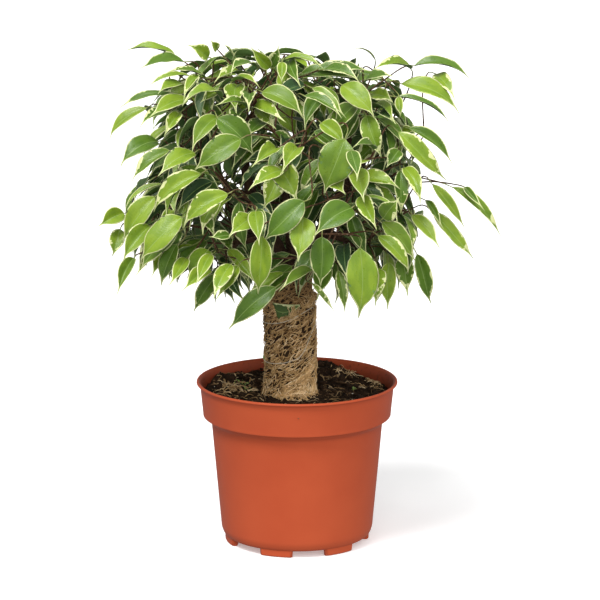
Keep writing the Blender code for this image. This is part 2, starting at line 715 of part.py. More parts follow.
def grow_side_leaves(room, branch, gap, tries, seed, limit):
    """Leaves to left and right along a branch's twigs, wherever one has room."""
    count = 0
    for run_number, run in enumerate(branch.runs):
        hand = 1
        walked = 6.0
        for a, b in zip(run, run[1:]):
            start = branch.spots[a]
            span = branch.spots[b] - start
            while walked < span.length - 2:
                if branch.ways[a] + walked < 14 or count >= limit:
                    walked += gap
                    continue
                spot = start + span * (walked / span.length)
                rng = random.Random(f"{seed} {branch.number} {run_number} {a} {walked:.1f}")
                for _ in range(tries):
                    turn = rng.gauss(0.1, 0.45)
                    if hand < 0:
                        turn = math.pi - turn
                    leaf = side_leaf(spot, span.normalized(), turn, rng)
                    own = (("twig", branch.number),)
                    name = f"{seed} {branch.number} {run_number} {b} {walked:.1f}"
                    placed = settle_leaf(room, leaf, name, rng, 0, True, own)
                    if placed:
                        placed["branch"] = branch.number
                        branch.side_leaves.append(placed)
                        count += 1
                        break
                    hand = -hand
                hand = -hand
                walked += gap
            walked = max(2.0, walked - span.length)


def grow_crown(back_share, shell_count, side_gap, side_tries, side_limit):
    """The whole crown: leaves that the front view shows, their like behind, more on the surface,
    the twigs that carry them, and leaves along the twigs."""
    room = Room()
    limbs, starts = limb_lines()
    for limb in limbs:
        for (a, thick), (b, thin) in zip(limb, limb[1:]):
            room.add(tube_shape([a, b], max(thick, thin) + TOUCH, 8), "trunk")
    stump = [Vector((STUMP_X, 0, 150)), Vector((STUMP_X, 0, STUMP_TOP))]
    room.add(tube_shape(stump, WRAP_RADIUS + 1.5, 16), "trunk")
    branches = [Branch(i, start, heading) for i, (start, heading) in enumerate(starts)]
    for branch in branches:
        room.add(tube_shape(branch.spots, BRANCH_RADIUS), ("twig", branch.number))
    wanted = []
    front = [front_leaf(row) for row in FRONT_LEAVES]
    for i, leaf in enumerate(front):
        wanted.append((leaf, f"front {i}", 14, False))
    for i, leaf in enumerate(front):
        if -leaf["base"].y > 30 and abs(leaf["base"].x) < 130:
            rng = random.Random(f"back {i}")
            if rng.random() < back_share:
                wanted.append((turned(leaf, math.pi, rng), f"back {i}", 14, True))
    for i in range(shell_count):
        wanted.append((shell_leaf(i, shell_count, random.Random(f"shell {i}")), f"shell {i}", 3, True))
    ends = []
    for leaf, name, tries, bounded in wanted:
        placed = settle_leaf(room, leaf, name, random.Random(name), tries, bounded)
        if placed:
            ends.append(placed)
        if placed and not bounded:
            room.view.add(placed)
    middle = Vector((STUMP_X, 0, CROWN_MIDDLE))
    ends.sort(key=lambda leaf: (leaf["root"] - middle).length - 500 * leaf["name"].startswith("front"))
    missed = []
    for leaf in ends:
        rng = random.Random("twig " + leaf["name"])
        patience = 14 if leaf["name"].startswith("front") else 7
        for branch in sorted(branches, key=lambda one: one.cost(leaf["root"]))[:patience]:
            if branch.reach(room, leaf, rng, patience):
                break
        else:
            missed.append(leaf["name"])
            room.drop(("blade", leaf["name"]))
            room.drop(("stalk", leaf["name"]))
    for branch in branches:
        grow_side_leaves(room, branch, side_gap, side_tries, "side", side_limit)
    return room, limbs, branches, missed


def clear_scene():
    """Empty the file."""
    for thing in list(bpy.data.objects):
        bpy.data.objects.remove(thing, do_unlink=True)
    for group in list(bpy.data.collections):
        bpy.data.collections.remove(group)


def new_material(name, colour, roughness):
    """A plain surface of one colour."""
    material = bpy.data.materials.new(name)
    material.use_nodes = True
    shader = material.node_tree.nodes["Principled BSDF"]
    shader.inputs["Base Color"].default_value = (*colour, 1)
    shader.inputs["Roughness"].default_value = roughness
    shader.inputs["Metallic"].default_value = 0
    return material


def mesh_object(name, points, faces, group):
    """An object from points in millimetres and faces, with its faces turned outward."""
    mesh = bpy.data.meshes.new(name)
    mesh.from_pydata([tuple(p * MM) for p in points], [], faces)
    shape = bmesh.new()
    shape.from_mesh(mesh)
    bmesh.ops.recalc_face_normals(shape, faces=shape.faces)
    shape.to_mesh(mesh)
    shape.free()
    thing = bpy.data.objects.new(name, mesh)
    group.objects.link(thing)
    return thing


def solid_from_curve(curve_object, group):
    """Swap a curve for a closed mesh of it."""
    graph = bpy.context.evaluated_depsgraph_get()
    mesh = bpy.data.meshes.new_from_object(curve_object.evaluated_get(graph))
    shape = bmesh.new()
    shape.from_mesh(mesh)
    bmesh.ops.remove_doubles(shape, verts=shape.verts, dist=0.00001)
    bmesh.ops.recalc_face_normals(shape, faces=shape.faces)
    shape.to_mesh(mesh)
    shape.free()
    thing = bpy.data.objects.new(curve_object.name + " solid", mesh)
    thing.matrix_world = curve_object.matrix_world
    group.objects.link(thing)
    bpy.data.objects.remove(curve_object, do_unlink=True)
    return thing


def tube(name, line, group, roundness):
    """A closed tube round a line of points with radii, in millimetres."""
    curve = bpy.data.curves.new(name, "CURVE")
    curve.dimensions = "3D"
    curve.bevel_depth = MM
    curve.bevel_resolution = roundness
    curve.use_fill_caps = True
    spline = curve.splines.new("POLY")
    spline.points.add(len(line) - 1)
    for place, (spot, radius) in zip(spline.points, line):
        place.co = (*(spot * MM), 1)
        place.radius = radius
    thing = bpy.data.objects.new(name, curve)
    group.objects.link(thing)
    bpy.context.view_layer.update()
    return solid_from_curve(thing, group)


def settle_modifiers(thing):
    """Apply an object's modifiers."""
    bpy.context.view_layer.update()
    graph = bpy.context.evaluated_depsgraph_get()
    mesh = bpy.data.meshes.new_from_object(thing.evaluated_get(graph))
    thing.modifiers.clear()
    thing.data = mesh


def boolean(thing, operation, other, solver="EXACT"):
    """Join or cut an object with another object or a collection, and apply it."""
    modifier = thing.modifiers.new(operation.title(), "BOOLEAN")
    modifier.operation = operation
    modifier.solver = solver
    if isinstance(other, bpy.types.Collection):
        modifier.operand_type = "COLLECTION"
        modifier.collection = other
    else:
        modifier.object = other
    settle_modifiers(thing)


def drop_folded_faces(shape):
    """Take out pairs of faces that lie back to back on the same three points."""
    pairs = {}
    for face in shape.faces:
        pairs.setdefault(frozenset(vert.index for vert in face.verts), []).append(face)
    folded = [face for faces in pairs.values() if len(faces) == 2 for face in faces]
    bmesh.ops.delete(shape, geom=folded, context="FACES")
    stray = [edge for edge in shape.edges if not edge.link_faces]
    bmesh.ops.delete(shape, geom=stray, context="EDGES")


def drop_scraps(shape):
    """Take out all but the largest of a mesh's skins, where faces with an edge in common are of one skin."""
    skins = []
    waiting = set(shape.faces)
    while waiting:
        skin = [waiting.pop()]
        for here in skin:
            for edge in here.edges:
                for there in edge.link_faces:
                    if there in waiting:
                        waiting.discard(there)
                        skin.append(there)
        skins.append(skin)
    skins.sort(key=len)
    loose = [face for skin in skins[:-1] for face in skin]
    bmesh.ops.delete(shape, geom=loose, context="FACES")


def keep_one_body(thing):
    """Split an object's faces into triangles, merge close points and drop loose scraps, in the first way
    that leaves one closed body."""
    for gap, method in itertools.product(MERGE_GAPS, ("BEAUTY", "EAR_CLIP")):
        shape = bmesh.new()
        shape.from_mesh(thing.data)
        bmesh.ops.triangulate(shape, faces=shape.faces, ngon_method=method)
        bmesh.ops.remove_doubles(shape, verts=shape.verts, dist=gap * MM)
        drop_folded_faces(shape)
        drop_scraps(shape)
        closed = all(len(edge.link_faces) == 2 for edge in shape.edges)
        if closed:
            shape.to_mesh(thing.data)
        shape.free()
        if closed:
            return


def clear_group(group):
    """Remove a working collection and all that is in it."""
    for thing in list(group.objects):
        bpy.data.objects.remove(thing, do_unlink=True)
    bpy.data.collections.remove(group)


def working_group(name):
    group = bpy.data.collections.new(name)
    bpy.context.scene.collection.children.link(group)
    return group


def fuse(name, first, group, parts, material, solver="EXACT"):
    """Join a working collection onto one of its objects and file the result under the part's name."""
    for old in list(first.users_collection):
        old.objects.unlink(first)
    parts.objects.link(first)
    if group.objects:
        boolean(first, "UNION", group, solver)
    keep_one_body(first)
    clear_group(group)
    first.name = name
    first.data.name = name
    first.data.materials.clear()
    first.data.materials.append(material)


def turned_solid(name, profile, steps, group, centre=(0.0, 0.0)):
    """A profile of radius and height turned round a vertical axis."""
    mesh = bpy.data.meshes.new(name)
    points = [(radius * MM, 0, height * MM) for radius, height in profile]
    mesh.from_pydata(points, [(i, i + 1) for i in range(len(points) - 1)], [])
    thing = bpy.data.objects.new(name, mesh)
    thing.location = (centre[0] * MM, centre[1] * MM, 0)
    group.objects.link(thing)
    screw = thing.modifiers.new("Turn", "SCREW")
    screw.axis = "Z"
    screw.steps = steps
    screw.render_steps = steps
    screw.use_merge_vertices = True
    screw.merge_threshold = 0.00001
    settle_modifiers(thing)
    return thing


def pot_profile():
    """Radius and height from the inside of the floor, up the inner wall, over the rim and down outside."""
    floor_top = POT_BASE_HEIGHT + POT_WALL
    inside = [(0, floor_top), (POT_BASE_RADIUS - POT_WALL, floor_top), (70.7, 103.0), (77.6, 110.4)]
    inside += [(80.0, 131.0), (82.6, RIM_HEIGHT)]
    outside = [(84.5, RIM_HEIGHT), (RIM_RADIUS, 136.6), (RIM_RADIUS, 135.6), (82.4, 134.0), (81.8, 131.0)]
    outside += [(79.6, 110.4), (79.0, 108.3), (77.2, 106.4), (72.9, 102.9), (72.4, 100.8)]
    outside += [(POT_BASE_RADIUS, 7.6), (61.4, POT_BASE_HEIGHT)]
    return inside + outside + [(0, POT_BASE_HEIGHT)]


def foot(name, middle, group):
    """A foot as a piece of a ring, its root sunk into the pot's floor."""
    steps = 3
    outer = FOOT_RADIUS
    inner = FOOT_RADIUS - FOOT_DEPTH
    angles = [middle - FOOT_SPAN / 2 + FOOT_SPAN * i / steps for i in range(steps + 1)]
    ring = [(outer * math.cos(a), outer * math.sin(a)) for a in angles]
    ring += [(inner * math.cos(a), inner * math.sin(a)) for a in reversed(angles)]
    curve = bpy.data.curves.new(name, "CURVE")
    curve.dimensions = "2D"
    curve.fill_mode = "BOTH"
    height = LEVEL + POT_BASE_HEIGHT + POT_WALL / 2
    curve.extrude = height / 2 * MM
    spline = curve.splines.new("POLY")
    spline.points.add(len(ring) - 1)
    for place, (x, y) in zip(spline.points, ring):
        place.co = (x * MM, y * MM, 0, 1)
    spline.use_cyclic_u = True
    thing = bpy.data.objects.new(name, curve)
    thing.location = (0, 0, (height / 2 - LEVEL) * MM)
    group.objects.link(thing)
    bpy.context.view_layer.update()
    return solid_from_curve(thing, group)


def build_pot(parts, material):
    """The nursery pot with its feet and drain holes."""
    feet = working_group("feet")
    holes = working_group("drain holes")
    pot = turned_solid("pot", pot_profile(), 36, parts)
    for i, degrees in enumerate(FOOT_TURNS):
        middle = math.radians(degrees)
        foot(f"foot {i}", middle, feet)
        bpy.ops.mesh.primitive_cylinder_add(vertices=8, radius=DRAIN_RADIUS * MM, depth=8 * MM)
        hole = bpy.context.object
        turn = middle + math.pi / len(FOOT_TURNS)
        centre = Vector((DRAIN_CIRCLE * math.cos(turn), DRAIN_CIRCLE * math.sin(turn), POT_BASE_HEIGHT))
        hole.location = centre * MM
        for old in list(hole.users_collection):
            old.objects.unlink(hole)
        holes.objects.link(hole)
    boolean(pot, "DIFFERENCE", holes)
    clear_group(holes)
    fuse("pot", pot, feet, parts, material)
    pot.data.shade_smooth()
    pot.data.set_sharp_from_angle(angle=math.radians(35))


def soil_height(x, y):
    """Height of the soil, which is heaped against the wall at the back right and a little at the left."""
    slope = 0.02 * y - 0.015 * x
    heap = 10 * math.exp(-((x - 25) / 20) ** 2 - ((y - 72) / 24) ** 2)
    heap += 6 * math.exp(-((x + 66) / 14) ** 2 - ((y - 40) / 14) ** 2)
    lumps = 0.9 * math.sin(x * 0.11 + 1.3) * math.cos(y * 0.09 + 0.4) + 0.6 * math.sin(x * 0.05 - y * 0.13)
    return SOIL_TOP + slope + heap + lumps


def build_soil(parts, material):
    """Soil filling the pot, with a plain hole that the wrapped stump stands in."""
    base = POT_BASE_HEIGHT + POT_WALL + TOUCH
    profile = [(0, HOLE_FLOOR), (HOLE_RADIUS, HOLE_FLOOR), (HOLE_RADIUS, SOIL_TOP), (42, SOIL_TOP)]
    profile += [(61, SOIL_TOP), (78.0, SOIL_TOP), (75.6, 109.6), (69.4, 102.6)]
    profile += [(POT_BASE_RADIUS - 2.4, base + 2), (POT_BASE_RADIUS - 4.2, base), (0, base)]
    soil = turned_solid("soil", profile, 26, parts)
    for vert in soil.data.vertices:
        if vert.co.z > (SOIL_TOP - 1) * MM:
            vert.co.z = soil_height(vert.co.x / MM, vert.co.y / MM) * MM
    for vert in soil.data.vertices:
        if vert.co.xy.length < (HOLE_RADIUS + 1) * MM and vert.co.z > (HOLE_FLOOR - 1) * MM:
            vert.co.x += STUMP_X * MM
    keep_one_body(soil)
    soil.data.materials.append(material)


def wrap_step(turn):
    """Height of the outer coir layer's ragged top edge at a turn round the stump."""
    degrees, heights = zip(*WRAP_EDGE)
    around = math.degrees(math.atan2(math.sin(turn), math.cos(turn)))
    return float(np.interp(around, degrees, heights)) + 0.5 * math.sin(turn * 9)


def build_wrap(parts, material):
    """Coir wound round the stump: a thick outer layer that ends in a step, and an inner one above it."""
    inner = STUMP_RADIUS + TOUCH
    low = HOLE_FLOOR + TOUCH
    profile = [(inner, WRAP_TOP), (WRAP_INNER_LAYER - 0.8, WRAP_TOP), (WRAP_INNER_LAYER, WRAP_TOP - 1.5)]
    profile += [(WRAP_INNER_LAYER, 218), (WRAP_INNER_LAYER, 201), (WRAP_RADIUS - 1.4, 200)]
    profile += [(WRAP_RADIUS, 198), (WRAP_RADIUS, 165), (WRAP_RADIUS, 142), (HOLE_RADIUS - TOUCH, 128)]
    profile += [(HOLE_RADIUS - TOUCH, low), (inner, low), (inner, WRAP_TOP)]
    wrap = turned_solid("coir_wrap", profile, 24, parts)
    for vert in wrap.data.vertices:
        height = vert.co.z / MM
        turn = math.atan2(vert.co.y, vert.co.x)
        if 196 < height < 203:
            vert.co.z = (height + wrap_step(turn) - 201) * MM
        if 210 < height < 222:
            vert.co.z = (height + 0.3 * (wrap_step(turn) - 201)) * MM
        if height > 230 and vert.co.xy.length > (inner + 0.5) * MM:
            vert.co.z = (height + 0.8 * math.sin(turn * 7)) * MM
    for vert in wrap.data.vertices:
        vert.co.x += STUMP_X * MM
    keep_one_body(wrap)
    wrap.data.materials.append(material)
    wrap.data.shade_smooth()
    wrap.data.set_sharp_from_angle(angle=math.radians(40))


def build_thread(parts, material):
    """A thin thread wound one and a half times round the coir."""
    line = []
    degrees, heights = zip(*THREAD_LINE)
    radius = (WRAP_RADIUS + TOUCH + THREAD_RADIUS) / math.cos(math.pi / 18) + 0.1
    for around in np.linspace(degrees[0], degrees[-1], 31):
        turn = math.radians(around)
        height = float(np.interp(around, degrees, heights))
        spot = Vector((STUMP_X + radius * math.cos(turn), radius * math.sin(turn), height))
        line.append((spot, THREAD_RADIUS))
    group = working_group("thread")
    thread = tube("thread", line, group, 0)
    fuse("binding_thread", thread, group, parts, material)


def build_tucked_leaf(parts, material):
    """A green leaf held flat against the inner layer. It shows above the notch in the outer layer's edge."""
    rows = []
    turns = [math.radians(degrees) for degrees in (-135, -120, -105, -90, -75)]
    for turn in turns:
        for level in (wrap_step(turn) + 0.8, TUCKED_LEAF_TOP):
            for radius in (WRAP_INNER_LAYER + 0.75, WRAP_INNER_LAYER + 1.5):
                rows.append(Vector((STUMP_X + radius * math.cos(turn), radius * math.sin(turn), level)))
    faces = []
    for i in range(len(turns) - 1):
        a = i * 4
        faces += [(a, a + 1, a + 5, a + 4), (a + 1, a + 3, a + 7, a + 5), (a + 3, a + 2, a + 6, a + 7)]
        faces += [(a + 2, a, a + 4, a + 6)]
    last = len(rows) - 4
    faces += [(0, 2, 3, 1), (last, last + 1, last + 3, last + 2)]
    leaf = mesh_object("tucked_leaf", rows, faces, parts)
    keep_one_body(leaf)
    leaf.data.materials.append(material)


def build_trunk(parts, material, limbs):
    """The stump and its limbs, grown as one."""
    group = working_group("limbs")
    base = HOLE_FLOOR + TOUCH
    profile = [(0, STUMP_TOP), (8, STUMP_TOP - 1), (12.5, STUMP_TOP - 4), (STUMP_RADIUS - 1, STUMP_TOP - 8)]
    profile += [(STUMP_RADIUS, STUMP_TOP - 14), (STUMP_RADIUS, base), (0, base)]
    stump = turned_solid("stump", profile, 14, parts, (STUMP_X, 0))
    for i, limb in enumerate(limbs):
        tube(f"limb {i}", limb, group, 1 if i < len(LEADERS) else 0)
    fuse("trunk", stump, group, parts, material)
    stump.data.shade_smooth()
    stump.data.set_sharp_from_angle(angle=math.radians(50))


def build_branch(branch, parts, material):
    """One branch's twigs and leaves, fused."""
    group = working_group("branch pieces")
    loads = branch.loads()
    twigs = []
    for run, (_, leaf) in zip(branch.runs[1:], branch.leaves):
        line = []
        for place, joint in enumerate(run):
            radius = branch.radius(loads[joint])
            line.append((branch.spots[joint], 0.42 * radius if place == 0 else radius))
        if not twigs:
            line = [(branch.spots[0], BRANCH_RADIUS), (branch.spots[1], BRANCH_RADIUS)] + line[1:]
        twigs.append(mesh_object("twig", *leaf_on_line(leaf, line), group))
    first = twigs[0]
    for leaf in branch.side_leaves:
        mesh_object("leaf", *leaf_on_line(leaf, [(leaf["root"], ROOT_RADIUS)]), group)
    fuse(f"leafy_branch_{branch.number + 1:02d}", first, group, parts, material, "MANIFOLD")


def centre_over_origin(parts):
    """Bring the middle of the whole plant over the origin."""
    bpy.context.view_layer.update()
    corners = []
    for thing in parts.objects:
        corners += [thing.matrix_world @ vert.co for vert in thing.data.vertices]
    array = np.array([tuple(p) for p in corners])
    middle = (array.min(axis=0) + array.max(axis=0)) / 2
    for thing in parts.objects:
        thing.location.x -= middle[0]
        thing.location.y -= middle[1]
        thing.location.z += LEVEL * MM


def main():
    clear_scene()
    parts = bpy.data.collections.new("potted_weeping_fig")
    bpy.context.scene.collection.children.link(parts)
    plastic = new_material("terracotta plastic", (0.50, 0.13, 0.06), 0.45)
    peat = new_material("peat", (0.035, 0.02, 0.013), 0.95)
    coir = new_material("coir", (0.36, 0.23, 0.12), 0.9)
    bark = new_material("bark", (0.16, 0.10, 0.06), 0.8)
    green = new_material("leaf green", (0.13, 0.28, 0.03), 0.4)
    dark = new_material("dark leaf green", (0.05, 0.13, 0.05), 0.4)
    pale = new_material("pale thread", (0.75, 0.72, 0.65), 0.7)
    build_pot(parts, plastic)
    build_soil(parts, peat)
    build_wrap(parts, coir)
    build_thread(parts, pale)
    build_tucked_leaf(parts, dark)
    room, limbs, branches, missed = grow_crown(0.85, 112, 12.0, 5, 3)
    build_trunk(parts, bark, limbs)
    for branch in branches:
        build_branch(branch, parts, green)
    centre_over_origin(parts)
    return branches, missed


if __name__ == "__main__":
    main()
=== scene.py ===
"""Potted weeping fig: fine surfaces, materials, light and camera."""

import math
import random

import bmesh
import bpy
import numpy as np
from mathutils import Matrix, Vector, noise
from mathutils.bvhtree import BVHTree

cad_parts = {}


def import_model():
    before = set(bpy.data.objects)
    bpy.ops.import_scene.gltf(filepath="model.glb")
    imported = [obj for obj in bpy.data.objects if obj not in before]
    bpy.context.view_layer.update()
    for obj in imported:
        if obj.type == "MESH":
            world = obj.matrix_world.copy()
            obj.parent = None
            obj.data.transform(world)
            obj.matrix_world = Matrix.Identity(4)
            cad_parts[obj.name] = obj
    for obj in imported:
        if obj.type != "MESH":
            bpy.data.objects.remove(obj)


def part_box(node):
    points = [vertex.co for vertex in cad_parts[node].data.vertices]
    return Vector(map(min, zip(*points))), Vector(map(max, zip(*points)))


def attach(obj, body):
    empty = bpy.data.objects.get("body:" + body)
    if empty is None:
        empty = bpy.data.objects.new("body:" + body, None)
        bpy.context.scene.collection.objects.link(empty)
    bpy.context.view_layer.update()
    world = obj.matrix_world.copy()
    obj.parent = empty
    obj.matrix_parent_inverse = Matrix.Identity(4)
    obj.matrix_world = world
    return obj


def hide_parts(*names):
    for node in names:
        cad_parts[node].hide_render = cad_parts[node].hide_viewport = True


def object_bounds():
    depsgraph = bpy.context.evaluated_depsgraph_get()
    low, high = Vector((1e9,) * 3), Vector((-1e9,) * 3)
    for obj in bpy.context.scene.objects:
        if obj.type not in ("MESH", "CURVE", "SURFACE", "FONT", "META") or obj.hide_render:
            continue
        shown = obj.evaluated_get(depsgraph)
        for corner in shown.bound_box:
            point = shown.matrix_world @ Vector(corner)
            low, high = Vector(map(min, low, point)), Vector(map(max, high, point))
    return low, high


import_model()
cad_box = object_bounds()
pot_low, pot_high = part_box("pot")

MM = 0.001
TOUCH = 0.3  # millimetres kept between pieces that touch
MERGE_GAPS = (0.002, 0.001, 0.005, 0.0001, 0.00001)  # millimetres that points are merged within

# Pot, in millimetres. Heights are taken from a level this far above the undersides of its feet.
LEVEL = 1.5
RIM_RADIUS = 85.0
RIM_HEIGHT = 137.2
POT_WALL = 1.6
POT_BASE_RADIUS = 64.0
POT_BASE_HEIGHT = 3.7
FOOT_RADIUS = 61.4
FOOT_DEPTH = 6.5
FOOT_SPAN = math.radians(28)
FOOT_TURNS = (-166.5, -107.3, -52.8, 7, 67, 130)  # degrees round the pot to the middle of each foot
DRAIN_RADIUS = 4.5
DRAIN_CIRCLE = 38.0

# Soil and the wrapped stump
SOIL_TOP = 126.0
HOLE_FLOOR = 104.0
STUMP_X = -5.8
STUMP_RADIUS = 15.0
STUMP_TOP = 247.0
WRAP_RADIUS = 22.4
WRAP_INNER_LAYER = 18.2
WRAP_TOP = 235.0
TUCKED_LEAF_TOP = 207.2
HOLE_RADIUS = 24.0
THREAD_RADIUS = 0.4

# The outer coir layer's top edge and the binding thread, as degrees round the stump and height. The front
# is at -90.
WRAP_EDGE = [
    (-180, 200), (-152, 205), (-134, 205), (-121, 194), (-90, 197.5), (-72, 200.5), (-60, 206), (-45, 210),
    (0, 213), (60, 210), (120, 203), (180, 200),
]
THREAD_LINE = [
    (-205, 158), (-180, 156.6), (-150, 155), (-115, 156), (-90, 158.2), (-65, 162), (-52, 171), (-43, 180),
    (-20, 187.5), (0, 190), (90, 190), (180, 187.7), (210, 189), (240, 190.2), (270, 194), (285, 197),
    (305, 201), (325, 203),
]

# Crown
CROWN_TOP = 436.0
CROWN_MIDDLE = 288.0
CROWN_BOTTOM = 176.0
CROWN_RADIUS = 168.0
BRANCH_RADIUS = 1.6
PETIOLE_RADIUS = 0.5
ROOT_RADIUS = 0.38  # a side leaf's stalk, inside its twig
BLADE_HALF = 0.6  # half the blade's thickness at its rib

# The front view is drawn on a grid, seen from this far off and this far above the horizontal
VIEW_DISTANCE = 2700.0
VIEW_TILT = math.radians(12.5)
VIEW_STEP = 0.8416  # millimetres to one step of the grid
VIEW_MIDDLE = (300.0, 300.0)
VIEW_AXIS = 297.0  # the pot's axis on the grid
VIEW_CENTRE_HEIGHT = 206.2
VIEW_CELL = 4.0  # steps of the grid to one cell, where leaves hide others

# Main limbs as points and radii, from inside the stump out to a flat end
LEADERS = {
    "left": [
        (-7, 0, 232, 6.5), (-20, -4, 260, 5.6), (-36, -8, 292, 5.0), (-44, -10, 335, 3.6), (-36, -9, 370, 1.8),
    ],
    "right": [(0, -1, 237, 5.2), (16, -8, 263, 4.6), (36, -12, 300, 3.6), (44, -10, 346, 1.8)],
    "back": [(-4, 4, 238, 5.0), (-6, 22, 263, 4.2), (-10, 42, 303, 3.2), (2, 50, 346, 1.8)],
    "front": [(-2, -3, 239, 4.6), (0, -24, 258, 3.8), (6, -44, 285, 2.8), (2, -52, 322, 1.8)],
    "back right": [(0, 2, 240, 4.0), (22, 18, 258, 3.0), (48, 27, 282, 1.8)],
    "back left": [(-8, 2, 240, 4.0), (-33, 16, 258, 3.0), (-58, 27, 280, 1.8)],
}

# Side limbs: the limb each leaves, the number of the point where it forks, and where it ends
FORKS = [
    ("left", 3, (-72, -16, 351)),
    ("left", 3, (-42, 20, 360)),
    ("left", 2, (-74, -20, 306)),
    ("left", 2, (-50, -46, 306)),
    ("left", 1, (-52, -32, 262)),
    ("right", 2, (78, -14, 314)),
    ("right", 2, (42, -50, 310)),
    ("right", 1, (50, -36, 264)),
    ("right", 2, (64, 22, 332)),
    ("back", 2, (-46, 62, 318)),
    ("back", 2, (36, 68, 318)),
    ("back", 1, (-12, 56, 258)),
    ("back right", 1, (58, -4, 252)),
    ("back right", 1, (42, 52, 254)),
    ("back left", 1, (-64, -8, 250)),
    ("back left", 1, (-46, 50, 254)),
    ("front", 2, (8, -68, 264)),
]

